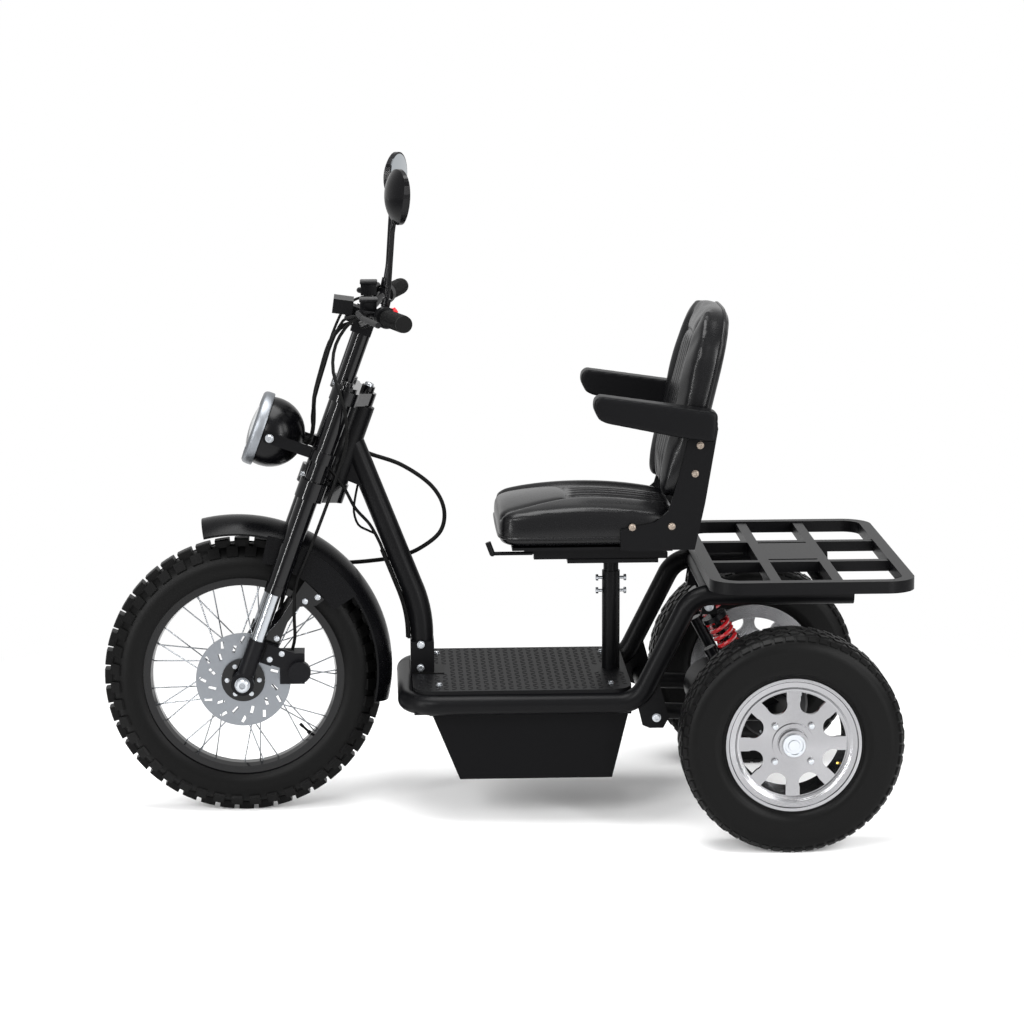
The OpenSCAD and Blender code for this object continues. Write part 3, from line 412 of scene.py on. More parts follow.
# Enamelled spring wire: deep red with a wet gloss
red_enamel = surface("red_spring_enamel", "8e1016", 0.25, 4.0, 0.03, coat=0.4)
dress(red_enamel, "springs")

# Rear wheels: one piece cast alloy, faced bright on a lathe, with a low wide tubeless tyre.
# The tyre's tread is made of slanted blocks in rows; four screws and a cap hold the wheel.
# Turned alloy: bright, with the lathe's fine rings round the axle
ring_pitch, ring_depth = 0.0025, 0.00012
bright_alloy = surface("lathe_faced_alloy", "828284", 0.21, 2.0, 0.02, metallic=1.0)
tree = bright_alloy.node_tree
place = add_node(tree, "ShaderNodeTexCoord")
from_axle = add_node(tree, "ShaderNodeMapping", [("Vector", place.outputs["Object"])])
from_axle.inputs["Location"].default_value = (-rear_axle_x, 0, -axle_z / 1000)
rings = add_node(tree, "ShaderNodeTexWave", [("Vector", from_axle.outputs["Vector"])],
                 wave_type="RINGS", rings_direction="Y", Scale=2 * math.pi / 20 / ring_pitch, Distortion=0.4)
turned = add_node(tree, "ShaderNodeBump", [("Height", rings.outputs["Color"])],
                  Strength=0.8, Distance=ring_depth)
shader = tree.nodes["Principled BSDF"]
tree.links.new(turned.outputs["Normal"], shader.inputs["Normal"])
round_axle = add_node(tree, "ShaderNodeTangent", direction_type="RADIAL", axis="Y")
tree.links.new(round_axle.outputs["Tangent"], shader.inputs["Tangent"])
shader.inputs["Anisotropic"].default_value = 0.85
dress(bright_alloy, "rear_wheel_left", "rear_wheel_right")
# Tyre rubber: dull carbon black with a dusty bloom
tyre_rubber = surface("tyre_rubber", "050505", 0.42, 3.5, 0.1, spread=0.08, specular=0.07)
dress(tyre_rubber, "rear_tyre_left", "rear_tyre_right", "front_tyre")
block_size = (22, 15, 6)
deselect()
bpy.ops.mesh.primitive_cube_add(size=1, location=(0, 0, 0))
block = bpy.context.object
block.scale = block_size
bpy.ops.object.transform_apply(scale=True)
bpy.ops.object.mode_set(mode="EDIT")
select_faces(block, lambda centre, normal: normal.z > 0.9)
bpy.ops.transform.resize(value=(0.9, 0.84, 1))
bpy.ops.object.mode_set(mode="OBJECT")
track_half = (tyre_box[0].y + tyre_box[1].y) * 500
tyre_half = (tyre_box[1].y - tyre_box[0].y) * 500
# Each row: degrees round the section from the crown, shift on the crown, slant, blocks, height
tread_rows = ((0, -28, 18, 46, 2.4), (0, -9, -18, 46, 2.4), (0, 9, 18, 46, 2.4), (0, 28, -18, 46, 2.4),
              (-38, 0, 0, 60, 3.4), (38, 0, 0, 60, 3.4))
rim_r, shoulder_share = 140, 0.35
shoulder = shoulder_share * (rear_r - rim_r)
block_half, shoulder_block = block_size[2] / 2, 0.8
wheel_bolts, bolt_circle_r, bolt_sink = 4, 52, 8
valve_r, valve_sink, valve_turn = 113, 26, math.radians(204)
cap_r, cap_t = 0.024, 0.003
cap_steps = ((0.001, 0.002), (0.004, 0), (0.001, -0.0035), (0.006, 0), (0.001, 0.0025), (0.003, 0))


def valve_stem():
    """A tyre valve in millimetres: a wide foot, a thin stem and a ribbed cap, standing on z = 0."""
    deselect()
    bpy.ops.mesh.primitive_cylinder_add(vertices=16, radius=4.5, depth=6, location=(0, 0, 3))
    valve = bpy.context.object
    bpy.ops.object.mode_set(mode="EDIT")
    select_faces(valve, lambda centre, normal: normal.z > 0.9)
    for grow, rise in ((0.6, 1), (1, 14), (1.3, 0.1), (1, 8), (0.7, 1)):
        bpy.ops.mesh.extrude_region_move(TRANSFORM_OT_translate={"value": (0, 0, rise)})
        bpy.ops.transform.resize(value=(grow, grow, 1))
    bpy.ops.object.mode_set(mode="OBJECT")
    bpy.ops.object.transform_apply(location=True)
    return valve


valve = valve_stem()
# Valve brass: yellow, slightly dulled
brass = surface("dull_brass", "b3903f", 0.34, 1.0, 0.01, metallic=1.0)
for side, label in ((1, "left"), (-1, "right")):
    places = []
    for row, (round_by, shift, slant, count, height) in enumerate(tread_rows):
        lean = math.radians(round_by)
        reach = shoulder + height - block_half
        rise = rear_r - shoulder + reach * math.cos(lean)
        across = shift
        if round_by:
            across = math.copysign(tyre_half - shoulder, round_by) + reach * math.sin(lean)
        for i in range(count):
            turn = 2 * math.pi * (i + 0.5 * (row % 2)) / count
            out = Vector((math.cos(turn), 0, math.sin(turn)))
            along = Vector((-math.sin(turn), math.tan(math.radians(slant)), math.cos(turn)))
            point = ground(0, side * track_half + across, axle_z) + out * rise / 1000
            normal = out * math.cos(lean) + Vector((0, math.sin(lean), 0))
            places.append((point, facing(normal, along), shoulder_block if round_by else 1))
    settle(scatter(block, f"rear_tread_{label}", places), tyre_rubber, f"rear_{label}")
    outer = side * max(abs(corner.y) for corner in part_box(f"rear_wheel_{label}")) * 1000
    bolt_places = []
    for i in range(wheel_bolts):
        turn = 2 * math.pi * (i + 0.5) / wheel_bolts
        point = ground(bolt_circle_r * math.cos(turn), outer - side * bolt_sink,
                       axle_z + bolt_circle_r * math.sin(turn))
        bolt_places.append((point, facing((0, side, 0)), 5.4))
    settle(scatter(screw, f"rear_wheel_screws_{label}", bolt_places), zinc, f"rear_{label}")
    inward = Vector((-math.cos(valve_turn), side * 1.2, -math.sin(valve_turn)))
    valve_foot = ground(valve_r * math.cos(valve_turn), outer - side * valve_sink,
                        axle_z + valve_r * math.sin(valve_turn))
    stem = scatter(valve, f"rear_valve_{label}", [(valve_foot, facing(inward), 0.8)])
    settle(stem, brass, f"rear_{label}")
    deselect()
    bpy.ops.mesh.primitive_cylinder_add(vertices=40, radius=cap_r, depth=cap_t, location=(0, 0, cap_t / 2))
    cap = bpy.context.object
    cap.name = f"rear_cap_{label}"
    bpy.ops.object.mode_set(mode="EDIT")
    select_faces(cap, lambda centre, normal: normal.z > 0.9)
    for narrower, rise in cap_steps:
        bpy.ops.mesh.inset(thickness=narrower)
        bpy.ops.transform.translate(value=(0, 0, rise))
    bpy.ops.object.mode_set(mode="OBJECT")
    bpy.ops.object.transform_apply(location=True)
    cap.data.transform(Matrix.Translation(ground(0, outer + side * 0.2, axle_z)) @ facing((0, side, 0)))
    settle(cap, zinc, f"rear_{label}")
bpy.data.objects.remove(block)

# Fork: black upper tubes, bright lower tubes in cast axle lugs, two clamps and the stem.
# Pinch screws close the clamps in front, and a bright nut sits on top of the stem.
steer = next(joint for joint in frame["joints"] if joint["name"] == "steer")
pivot = Vector(steer["pos_m"])
up = Vector(steer["axis"]).normalized()
forward = Vector((up.z, 0, -up.x))
left = Vector((0, 1, 0))


def on_steering(x, y, s):
    """A point in millimetres from the steering axis: x forward, y left, s up the axis."""
    return pivot + (forward * x + left * y + up * s) / 1000


# Stoved black paint: smooth, with a clear soft gloss
stove_paint = surface("black_stoved_paint", "040405", 0.12, 5.0, 0.01, spread=0.04, specular=0.2)
dress(stove_paint, "fork_tubes", "fork_clamps", "bar_risers", "handlebar", "fender_stays")
# Ground tube steel: grey, with long clear lights
tube_steel = surface("ground_tube_steel", "8f9296", 0.2, 1.5, 0.01, metallic=1.0)
dress(tube_steel, "fork_sliders")
dress(cast_paint, "axle_lugs", "brake_caliper")
fork_x, fork_y, tube_top, stem_top = 45, 92, 668, 669
pinch_x, pinch_y, pinch_heights = fork_x + 22, 62, (437, 646)
clamp_screws = [(on_steering(pinch_x, side * pinch_y, s), facing(forward), 7)
                for side in (1, -1) for s in pinch_heights]
clamp_screws += [(on_steering(0, 0, stem_top), facing(up), 12)]
cap_places = [(on_steering(fork_x, side * fork_y, tube_top), facing(up), 12) for side in (1, -1)]
settle(scatter(screw, "fork_caps", cap_places), stove_paint, "steering")
stay_face, caliper_face, lamp_face = 73, 90, 88
lamp_s, lamp_pin_x = 510, 162
stay_screws = []
for x, s in ((22, 80), (8, 110), (-22, 205), (-44, 222)):
    stay_screws += [(on_steering(x, side * stay_face, s), facing((0, side, 0)), 6) for side in (1, -1)]
caliper_screws = [(on_steering(x, caliper_face, s), facing(left), 6) for x, s in ((8, 66), (-12, 86))]
lamp_screws = [(on_steering(lamp_pin_x, side * lamp_face, lamp_s), facing((0, side, 0)), 9)
               for side in (1, -1)]
settle(scatter(screw, "steering_screws", clamp_screws + stay_screws + caliper_screws + lamp_screws),
       zinc, "steering")

# Front wheel: a black steel rim laced to a steel hub with wire spokes, and a knobbly tyre.
# The slotted disc is screwed to the hub's left side; nuts close the axle on both lugs.
dress(stove_paint, "front_rim", "front_hub")
# Drawn wire: bright grey with thin lights
wire_steel = surface("bright_spoke_wire", "7b7e82", 0.25, 1.5, 0.01, metallic=1.0)
dress(wire_steel, "front_spokes", "front_axle")
# Ground disc steel: fine dull swirl marks
disc_steel = surface("ground_disc_steel", "6d7074", 0.34, 1.2, 0.02, metallic=1.0)
dress(disc_steel, "brake_disc")
axle_low, axle_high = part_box("front_axle")
axle = (axle_low + axle_high) / 2
disc_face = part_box("front_hub")[1].y
disc_bolts, disc_bolt_r = 6, 0.034
disc_places = []
for i in range(disc_bolts):
    turn = 2 * math.pi * i / disc_bolts
    point = Vector((axle.x + disc_bolt_r * math.cos(turn), disc_face, axle.z + disc_bolt_r * math.sin(turn)))
    disc_places.append((point, facing(left), 5))
settle(scatter(screw, "disc_screws", disc_places), zinc, "front_wheel")
rim_low, rim_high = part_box("front_rim")
valve_turn, rim_depth = math.radians(224), 0.021
outward = Vector((math.cos(valve_turn), 0, math.sin(valve_turn)))
valve_foot = axle + outward * ((rim_high.x - rim_low.x) / 2 - rim_depth)
stem = scatter(valve, "front_valve", [(valve_foot, facing(-outward), 1)])
settle(stem, tyre_rubber, "front_wheel")
bpy.data.objects.remove(valve)
lug_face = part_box("axle_lugs")[1].y
nut_places = [(Vector((axle.x, side * lug_face, axle.z)), facing((0, side, 0)), 16) for side in (1, -1)]
settle(scatter(screw, "axle_nuts", nut_places), zinc, "steering")

# Front fender: one pressed steel shell over the tyre, enamelled inside and out.
# Steel stays at both sides hold it, screwed to the fork.
# Satin enamel: smooth and black, with broad soft lights
satin_black = surface("satin_black_enamel", "040405", 0.28, 6.0, 0.02, specular=0.07)
dress(satin_black, "front_fender")

# Handlebar controls: moulded switch pods and levers, a plastic dash and ribbed rubber grips.
# The grips have raised rings, the left pod a red push button and each lever its fluid reservoir.
# Moulded plastic: black with a fine even grain
black_plastic = surface("grained_black_plastic", "060607", 0.38, 1.4, 0.05, specular=0.08)
dress(black_plastic, "switch_pods", "dash_unit", "brake_levers")
dress(soft_rubber, "grips", "wire_harness", "bar_wires", "brake_hose")
bar_end = Vector((-8.2, 350, 856.5))
grip_dir = Vector((-41, 170, 18)).normalized()
grip_r, grip_l = 17, 125


def on_bar(inward, side):
    """A point on the grip's line, measured in from the bar's end, on the left or right side."""
    spot = bar_end - grip_dir * inward
    return on_steering(spot.x, side * spot.y, spot.z)


ring_rise, ring_w, ring_gap, first_ring, ring_count = 0.9, 3.4, 6.4, 8, 17
deselect()
bpy.ops.mesh.primitive_cylinder_add(vertices=36, radius=grip_r + ring_rise, depth=ring_w, location=(0, 0, 0))
ring = bpy.context.object
edge = ring.modifiers.new("rounded", "BEVEL")
edge.width = 1.1
edge.segments = 3
bpy.ops.object.modifier_apply(modifier=edge.name)
ring_places = []
for side in (1, -1):
    line = on_bar(0, side) - on_bar(grip_l, side)
    ring_places += [(on_bar(first_ring + ring_gap * i, side), facing(line), 1) for i in range(ring_count)]
settle(scatter(ring, "grip_rings", ring_places), soft_rubber, "steering")
bpy.data.objects.remove(ring)
# Button plastic: clear red with a soft shine
red_plastic = surface("red_button_plastic", "c01820", 0.35, 2.0, 0.02)
button_out = (forward * -0.55 + up * 0.83).normalized()
pod_middle, pod_r = grip_l + 13, 0.0215
button_place = on_bar(pod_middle, 1) + button_out * pod_r
button = scatter(screw, "push_button", [(button_place, facing(button_out), 8)])
settle(button, red_plastic, "steering")

pot_size = (34, 42, 24)
deselect()
bpy.ops.mesh.primitive_cube_add(size=1, location=(0, 0, 0))
pot = bpy.context.object
pot.scale = pot_size
bpy.ops.object.transform_apply(scale=True)
bpy.ops.object.mode_set(mode="EDIT")
select_faces(pot, lambda centre, normal: normal.z > 0.9)
for grow, rise in ((1.1, 0.2), (1, 5), (0.9, 1.6)):
    bpy.ops.mesh.extrude_region_move(TRANSFORM_OT_translate={"value": (0, 0, rise)})
    bpy.ops.transform.resize(value=(grow, grow, 1))
bpy.ops.object.mode_set(mode="OBJECT")
edge = pot.modifiers.new("rounded", "BEVEL")
edge.width = 2
edge.segments = 3
bpy.ops.object.modifier_apply(modifier=edge.name)
perch = bar_end - grip_dir * (grip_l + 36)
pot_places = [(on_steering(perch.x + 33, side * (perch.y - 26), perch.z + 6), Matrix.Identity(4), 1)
              for side in (1, -1)]
settle(scatter(pot, "brake_reservoirs", pot_places), black_plastic, "steering")
bpy.data.objects.remove(pot)

# Mirrors: moulded teardrop heads on steel stalks that screw into the lever perches.
# Each has a silvered glass set in its flat side.
# Gloss enamel: deep black with one clear light
gloss_black = surface("gloss_black_enamel", "030304", 0.24, 8.0, 0.004, spread=0.04, specular=0.12)
dress(gloss_black, "mirrors", "headlamp_shell")
mirror_yaw, mirror_rake = 24, 20
glass_half_w, glass_half_h, glass_taper, glass_sink = 42, 52, 0.18, 4.1
head = perch + Vector((52, 60, 244))
# Silvered glass: a clear mirror, a little grey
mirror_glass = surface("silvered_glass", "a9aeb2", 0.03, 20, 0.0, metallic=1.0, spread=0.01)
for side, label in ((1, "left"), (-1, "right")):
    deselect()
    bpy.ops.mesh.primitive_circle_add(vertices=48, radius=1, fill_type="NGON", location=(0, 0, 0))
    glass = bpy.context.object
    glass.name = f"mirror_glass_{label}"
    for vertex in glass.data.vertices:
        x, y = vertex.co.x, vertex.co.y
        vertex.co = Vector((glass_half_w * x * (1 + glass_taper * y), glass_half_h * y, 0))
    bpy.ops.object.mode_set(mode="EDIT")
    bpy.ops.mesh.select_all(action="SELECT")
    bpy.ops.mesh.extrude_region_move(TRANSFORM_OT_translate={"value": (0, 0, -1.2)})
    bpy.ops.mesh.inset(thickness=2)
    bpy.ops.transform.translate(value=(0, 0, -0.5))
    bpy.ops.mesh.select_all(action="SELECT")
    bpy.ops.mesh.normals_make_consistent(inside=False)
    bpy.ops.object.mode_set(mode="OBJECT")
    axes = Matrix(((0, 0, 1), (1, 0, 0), (0, 1, 0))).to_4x4()
    rake = Matrix.Rotation(math.radians(mirror_rake), 4, "Y")
    tilt = rake @ Matrix.Rotation(math.radians(mirror_yaw), 4, "Z")
    flip = Matrix.Diagonal((1, side, 1, 1))
    steering_axes = Matrix((forward, left, up)).transposed().to_4x4()
    place = Matrix.Translation(pivot) @ steering_axes @ Matrix.Scale(0.001, 4) @ flip
    place = place @ Matrix.Translation(head) @ tilt @ axes
    glass.data.transform(place @ Matrix.Translation((0, 0, -glass_sink)))
    if side < 0:
        glass.data.flip_normals()
    settle(glass, mirror_glass, "steering")

# Headlamp: a pressed steel bucket pinned in a bracket, with a domed glass held by a chromed ring.
# A bright bowl and a bulb stand behind the glass, and a wide brushed trim is drawn over the ring.
lamp_x = 194
dress(stove_paint, "headlamp_bracket")
# Chromed steel: a bright, nearly clear mirror
chrome = surface("chromed_steel", "b4b7bb", 0.12, 6.0, 0.01, metallic=1.0, spread=0.03)
dress(chrome, "headlamp_ring")
# Lamp glass: clear, with a faint wave
clear_glass = surface("clear_lamp_glass", "f4f8fa", 0.03, 9.0, 0.05, spread=0.015)
clear_glass.node_tree.nodes["Principled BSDF"].inputs["Transmission Weight"].default_value = 1.0
clear_glass.node_tree.nodes["Principled BSDF"].inputs["IOR"].default_value = 1.5
dress(clear_glass, "headlamp_lens")
lamp_place = Matrix.Translation(on_steering(0, 0, lamp_s)) @ facing(forward, left) @ Matrix.Scale(0.001, 4)


def spun_sheet(name, profile, vertices, wall_mm, closed):
    """A sheet spun round the lamp's axis through the (radius, height) pairs of its profile."""
    deselect()
    bpy.ops.mesh.primitive_circle_add(vertices=vertices, radius=profile[0][0], fill_type="NOTHING",
                                      location=(0, 0, profile[0][1]))
    piece = bpy.context.object
    piece.name = name
    bpy.ops.object.transform_apply(location=True)
    bpy.ops.object.mode_set(mode="EDIT")
    bpy.ops.mesh.select_mode(type="EDGE")
    bpy.ops.mesh.select_all(action="SELECT")
    for (r0, z0), (r1, z1) in zip(profile, profile[1:]):
        bpy.ops.mesh.extrude_region_move(TRANSFORM_OT_translate={"value": (0, 0, z1 - z0)})
        bpy.ops.transform.resize(value=(r1 / r0, r1 / r0, 1))
    if closed:
        bpy.ops.mesh.edge_face_add()
    bpy.ops.mesh.select_all(action="SELECT")
    bpy.ops.mesh.normals_make_consistent(inside=closed)
    bpy.ops.object.mode_set(mode="OBJECT")
    wall = piece.modifiers.new("sheet", "SOLIDIFY")
    wall.thickness = wall_mm
    bpy.ops.object.modifier_apply(modifier=wall.name)
    piece.data.transform(lamp_place)
    return piece


bowl_front, bowl_depth, bowl_r, bowl_steps = lamp_x - 12, 66, 64, 7
bowl_profile = [(bowl_r * math.sqrt(1 - k / bowl_steps), bowl_front - bowl_depth * k / bowl_steps)
                for k in range(bowl_steps)]
settle(spun_sheet("lamp_bowl", bowl_profile, 48, 0.8, True), chrome, "steering")
# Brushed trim: a soft grey shine
brushed = surface("brushed_steel_trim", "6c6f73", 0.42, 1.0, 0.005, metallic=1.0)
trim_profile = [(r, lamp_x + z) for r, z in (
    (75.5, -16), (78.6, -15), (79.4, -12.5), (79.4, -3), (78.6, 2), (76.4, 5.6), (72.5, 8), (67, 8.2))]
settle(spun_sheet("lamp_trim", trim_profile, 96, 0.6, False), brushed, "steering")
bulb_r, bulb_l, bulb_sink = 8, 34, 58
deselect()
bpy.ops.mesh.primitive_cylinder_add(vertices=24, radius=bulb_r, depth=bulb_l,
                                    location=(0, 0, lamp_x - bulb_sink))
bulb = bpy.context.object
bulb.name = "lamp_bulb"
bpy.ops.object.mode_set(mode="EDIT")
select_faces(bulb, lambda centre, normal: normal.z > 0.9)
for narrower, rise in ((1.5, 4), (2.5, 2.5), (2, 0.8)):
    bpy.ops.mesh.inset(thickness=narrower)
    bpy.ops.transform.translate(value=(0, 0, rise))
bpy.ops.object.mode_set(mode="OBJECT")
bpy.ops.object.transform_apply(location=True)
bulb.data.transform(lamp_place)
settle(bulb, clear_glass, "steering")

# Cables that cross the steering: the lamp's lead to the down tube and the long loop behind it.
# Both are black sleeved wire, each with one end at the frame and the other at the fork.


def smooth_line(points, steps):
    """A smooth line through the points of a route."""
    line = []
    for i in range(len(points) - 1):
        a, b = points[max(i - 1, 0)], points[i]
        c, d = points[i + 1], points[min(i + 2, len(points) - 1)]
        for k in range(steps):
            t = k / steps
            line.append(0.5 * (2 * b + (c - a) * t + (2 * a - 5 * b + 4 * c - d) * t ** 2
                               + (3 * b - a - 3 * c + d) * t ** 3))
    return line + [points[-1]]


def tube(name, line, radius_mm, closed=False):
    """A round tube along a line of points, as a mesh."""
    curve = bpy.data.curves.new(name, "CURVE")
    curve.dimensions = "3D"
    curve.bevel_depth = radius_mm / 1000
    curve.bevel_resolution = 3
    curve.use_fill_caps = True
    spline = curve.splines.new("POLY")
    spline.points.add(len(line) - 1)
    for point, spot in zip(spline.points, line):
        point.co = (*spot, 1)
    spline.use_cyclic_u = closed
    piece = bpy.data.objects.new(name, curve)
    bpy.context.collection.objects.link(piece)
    pick(piece)
    bpy.ops.object.convert(target="MESH")
    piece = bpy.context.object
    bpy.ops.object.shade_smooth_by_angle(angle=math.radians(50))
    return piece


lead_route = [ground(*p) for p in (
    (991.2, 12.5, 785), (970, 38, 764), (935, 50, 740), (906, 44, 700), (884, 28, 655), (854, 12, 617),
    (834.3, 6, 579), (827.1, 6, 560.5))]
loop_route = [ground(*p) for p in (
    (878, -29, 774), (850, -31, 760), (785, -38, 735), (723, -42, 690), (696, -44, 640), (703, -46, 590),
    (746, -50, 553), (795, -56, 533), (858, -78, 520), (925, -94, 512), (985, -106, 500), (1030, -104, 465),
    (1048, -90, 420), (1056, -80, 380))]
lead = tube("lamp_lead", smooth_line(lead_route, 8), 3.5)
lead.data.materials.append(soft_rubber)
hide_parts("wire_lead")
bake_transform(lead)
loop = tube("long_loop", smooth_line(loop_route, 8), 4.5)
loop.data.materials.append(soft_rubber)
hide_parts("loop_lead")
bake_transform(loop)

# Seat: a steel pan and side brackets carry a vinyl cushion and backrest filled with foam.
# The covers are sewn in pleats down the middle, with fuller sides and a piped edge.
dress(powder_coat, "seat_frame")


def round_off(piece, rounds):
    """Rounds off the edges and folds of an evenly meshed piece."""
    pick(piece)
    rounding = piece.modifiers.new("rounding", "SMOOTH")
    rounding.factor = 0.5
    rounding.iterations = rounds
    bpy.ops.object.modifier_apply(modifier=rounding.name)


def soft_copy(node, name, voxel_mm, rounds):
    """An evenly meshed copy of a plain pad with its edges rounded off."""
    source = frame["nodes"][node]
    piece = bpy.data.objects.new(name, source.data.copy())
    bpy.context.collection.objects.link(piece)
    pick(piece)
    bpy.ops.object.mode_set(mode="EDIT")
    bpy.ops.mesh.select_all(action="SELECT")
    bpy.ops.mesh.remove_doubles(threshold=0.00001)
    bpy.ops.object.mode_set(mode="OBJECT")
    piece.data.remesh_voxel_size = voxel_mm / 1000
    bpy.ops.object.voxel_remesh()
    round_off(piece, rounds)
    return piece


def swell(piece, held, cap_mm):
    """Fills the cover like foam under pressure; the held points stay, and none moves past the cap."""
    rest = [vertex.co.copy() for vertex in piece.data.vertices]
    group = piece.vertex_groups.new(name="held")
    group.add([i for i, spot in enumerate(rest) if held(spot)], 1.0, "REPLACE")
    cloth = piece.modifiers.new("stuffing", "CLOTH")
    cloth.settings.quality = 6
    cloth.settings.bending_stiffness = 30
    cloth.settings.tension_stiffness = 40
    cloth.settings.compression_stiffness = 40
    cloth.settings.use_pressure = True
    cloth.settings.uniform_pressure_force = 3
    cloth.settings.effector_weights.gravity = 0
    cloth.settings.vertex_group_mass = "held"
    cloth.collision_settings.use_collision = False
    cloth.collision_settings.use_self_collision = False
    last_step = 20
    cloth.point_cache.frame_start = 1
    cloth.point_cache.frame_end = last_step
    for step in range(1, last_step + 1):
        scene.frame_set(step)
    filled = piece.evaluated_get(bpy.context.evaluated_depsgraph_get()).data
    moved = [vertex.co.copy() for vertex in filled.vertices]
    piece.modifiers.remove(cloth)
    for vertex, start, end in zip(piece.data.vertices, rest, moved):
        move = end - start
        vertex.co = start + move * min(1, cap_mm / 1000 / max(move.length, 1e-9))
    piece.vertex_groups.clear()
    scene.frame_set(1)
    round_off(piece, 24)


def subdivide(piece):
    """One smooth subdivision, applied."""
    pick(piece)
    finer = piece.modifiers.new("finer", "SUBSURF")
    finer.levels = 1
    finer.render_levels = 1
    bpy.ops.object.modifier_apply(modifier=finer.name)


def sew(piece, pull):
    """Draws the cover in by pull(point, normal) millimetres along its own normal."""
    moves = [pull(vertex.co, vertex.normal) for vertex in piece.data.vertices]
    normals = [vertex.normal.copy() for vertex in piece.data.vertices]
    for vertex, move, normal in zip(piece.data.vertices, moves, normals):
        if move:
            vertex.co -= normal * move / 1000


def ramp(low, high, value):
    """0 below low, 1 above high and a smooth rise between."""
    t = min(1, max(0, (value - low) / (high - low)))
    return t * t * (3 - 2 * t)


def seam(distance_mm, deep_mm):
    """Depth of a sewn line at a distance from it: a narrow stitch in a wide soft dip."""
    if distance_mm > 40:
        return 0
    return deep_mm * (0.55 * math.exp(-(distance_mm / 13) ** 2) + 0.45 * math.exp(-(distance_mm / 3.2) ** 2))


# Vinyl: a grained skin with a soft sheen, its leather grain drawn at 2 mm so that it shows
vinyl = surface("grained_vinyl", "050506", 0.28, 2.0, 0.03, spread=0.05, specular=0.16)
cushion = soft_copy("seat_cushion", "seat_pad", 6, 56)
pad_low, pad_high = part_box("seat_cushion")
swell(cushion, lambda spot: spot.z < pad_low.z + 0.012, 12)
subdivide(cushion)
pad_half = pad_high.y * 1000
pad_l = (pad_high.x - pad_low.x) * 1000


def seat_seams(point, normal):
    """How far the seat's cover is drawn in: pleats behind a cross seam, between two fuller sides."""
    if normal.z < 0.05:
        return 0
    along = (point.x - pad_low.x) * 1000 / pad_l
    across = abs(point.y) * 1000
    side_line = pad_half * (0.46 + 0.26 * ramp(0.5, 1.0, along))
    depth = seam(abs(across - side_line), 9)
    cross_line = 0.6 + 0.1 * (across / pad_half) ** 2
    if across < side_line:
        depth += seam(abs(along - cross_line) * pad_l, 6)
        if along < cross_line:
            pleat = side_line / 3
            ends = ramp(0, 0.06, cross_line - along) * ramp(0.03, 0.13, along)
            depth += seam(abs((across + pleat / 2) % pleat - pleat / 2), 7) * ends
    full = 7 * ramp(0, 24, across - side_line) * ramp(0.05, 0.95, normal.z)
    return depth * ramp(0.25, 0.6, normal.z) - full


sew(cushion, seat_seams)
round_off(cushion, 2)
settle(cushion, vinyl, "seat")
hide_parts("seat_cushion")

back_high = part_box("back_cushion")[1]
back_lean = math.radians(13.4)
back_up = Vector((-math.sin(back_lean), 0, math.cos(back_lean)))
back_out = Vector((math.cos(back_lean), 0, math.sin(back_lean)))
back_foot = ground(post_x - 94, 0, 692)
back_t = 58
back_half = back_high.y * 1000
back_l = (back_high.z - back_foot.z) * 1000 / math.cos(back_lean)
backrest = soft_copy("back_cushion", "back_pad", 6, 64)
swell(backrest, lambda spot: (spot - back_foot).dot(back_out) < (12 - back_t) / 1000, 12)
subdivide(backrest)


def back_seams(point, normal):
    """How far the back's cover is drawn in: pleats under a top seam, between two fuller sides."""
    if normal.dot(back_out) < 0.05:
        return 0
    rise = (point - back_foot).dot(back_up) * 1000
    across = abs(point.y) * 1000
    side_line = back_half * (0.62 - 0.16 * ramp(0.2, 1.0, rise / back_l))
    top_line = back_l * 0.84 - 0.0016 * across ** 2
    depth = seam(abs(across - side_line), 8) * ramp(-30, 0, top_line + 20 - rise)
    if across < side_line:
        depth += seam(abs(rise - top_line), 6)
        pleat = side_line / 3
        if rise < top_line:
            depth += seam(abs((across + pleat / 2) % pleat - pleat / 2), 6) * ramp(0, 24, top_line - rise)
    full = 8 * ramp(0, 26, across - side_line) * ramp(0.05, 0.95, normal.dot(back_out))
    return depth * ramp(0.25, 0.6, normal.dot(back_out)) - full


sew(backrest, back_seams)
round_off(backrest, 3)
settle(backrest, vinyl, "seat")
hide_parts("back_cushion")


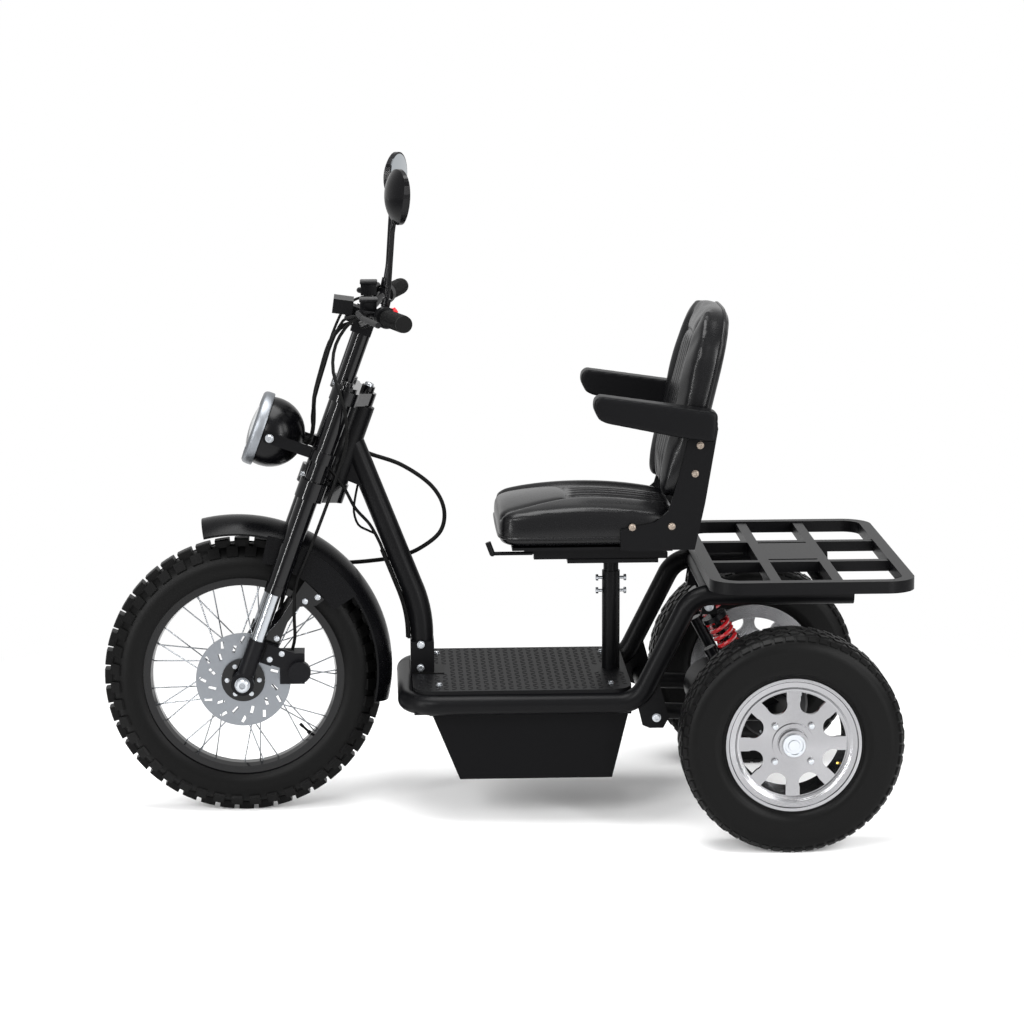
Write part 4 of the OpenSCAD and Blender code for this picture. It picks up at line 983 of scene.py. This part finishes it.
def rounded_loop(length, half, low_r, high_r):
    """Points round a plate outline from 0 to length, with its own radius at each end."""
    points = []
    corners = ((length - high_r, half - high_r, high_r, 0), (low_r, half - low_r, low_r, 90),
               (low_r, low_r - half, low_r, 180), (length - high_r, high_r - half, high_r, 270))
    for along, across, r, start in corners:
        for k in range(13):
            turn = math.radians(start + k * 7.5)
            points.append((along + r * math.cos(turn), across + r * math.sin(turn)))
    return points


def piping(name, piece, points):
    """A sewn cord that lies on the cover along the points."""
    bpy.context.view_layer.update()
    line = []
    for start, end in zip(points, points[1:] + points[:1]):
        for k in range(4):
            _, spot, normal, _ = piece.closest_point_on_mesh(start.lerp(end, k / 4))
            line.append(spot + normal * 0.001)
    for _ in range(6):
        line = [(line[i - 1] + 2 * line[i] + line[(i + 1) % len(line)]) / 4 for i in range(len(line))]
    settle(tube(name, line, 3.2, closed=True), vinyl, "seat")


seat_edge = [Vector((pad_low.x + a / 1000, b / 1000, pad_low.z + 0.02))
             for a, b in rounded_loop(pad_l, pad_half, 44, 44)]
piping("seat_piping", cushion, seat_edge)
back_edge = [back_foot + back_up * a / 1000 + Vector((0, b / 1000, 0)) + back_out * (14 - back_t) / 1000
             for a, b in rounded_loop(back_l, back_half, 46, 110)]
piping("back_piping", backrest, back_edge)

# Armrests: moulded foam pads on a steel core, hinged on the seat brackets so that they fold up.
# Four screws each side hold the brackets to the seat pan and the back.
# Moulded skin: dull black with a fine pebbled grain
moulded_skin = surface("moulded_urethane_skin", "070708", 0.38, 1.8, 0.05, specular=0.06)
for label in ("left", "right"):
    arm = soft_copy(f"armrest_{label}", f"arm_pad_{label}", 4, 16)
    subdivide(arm)
    settle(arm, moulded_skin, f"arm_{label}")
    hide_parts(f"armrest_{label}")
bracket_face = 178
bracket_screws = []
for x, z in ((311, 635), (229, 636), (181, 746), (171, 805)):
    bracket_screws += both_sides(x, bracket_face, z, 7.5)
# Yellow passivated screws: a dull bronze
bronze_zinc = surface("yellow_passivated_steel", "8c8177", 0.32, 1.5, 0.02, metallic=1.0)
settle(scatter(screw, "seat_screws", bracket_screws), bronze_zinc, "seat")
bpy.data.objects.remove(screw)
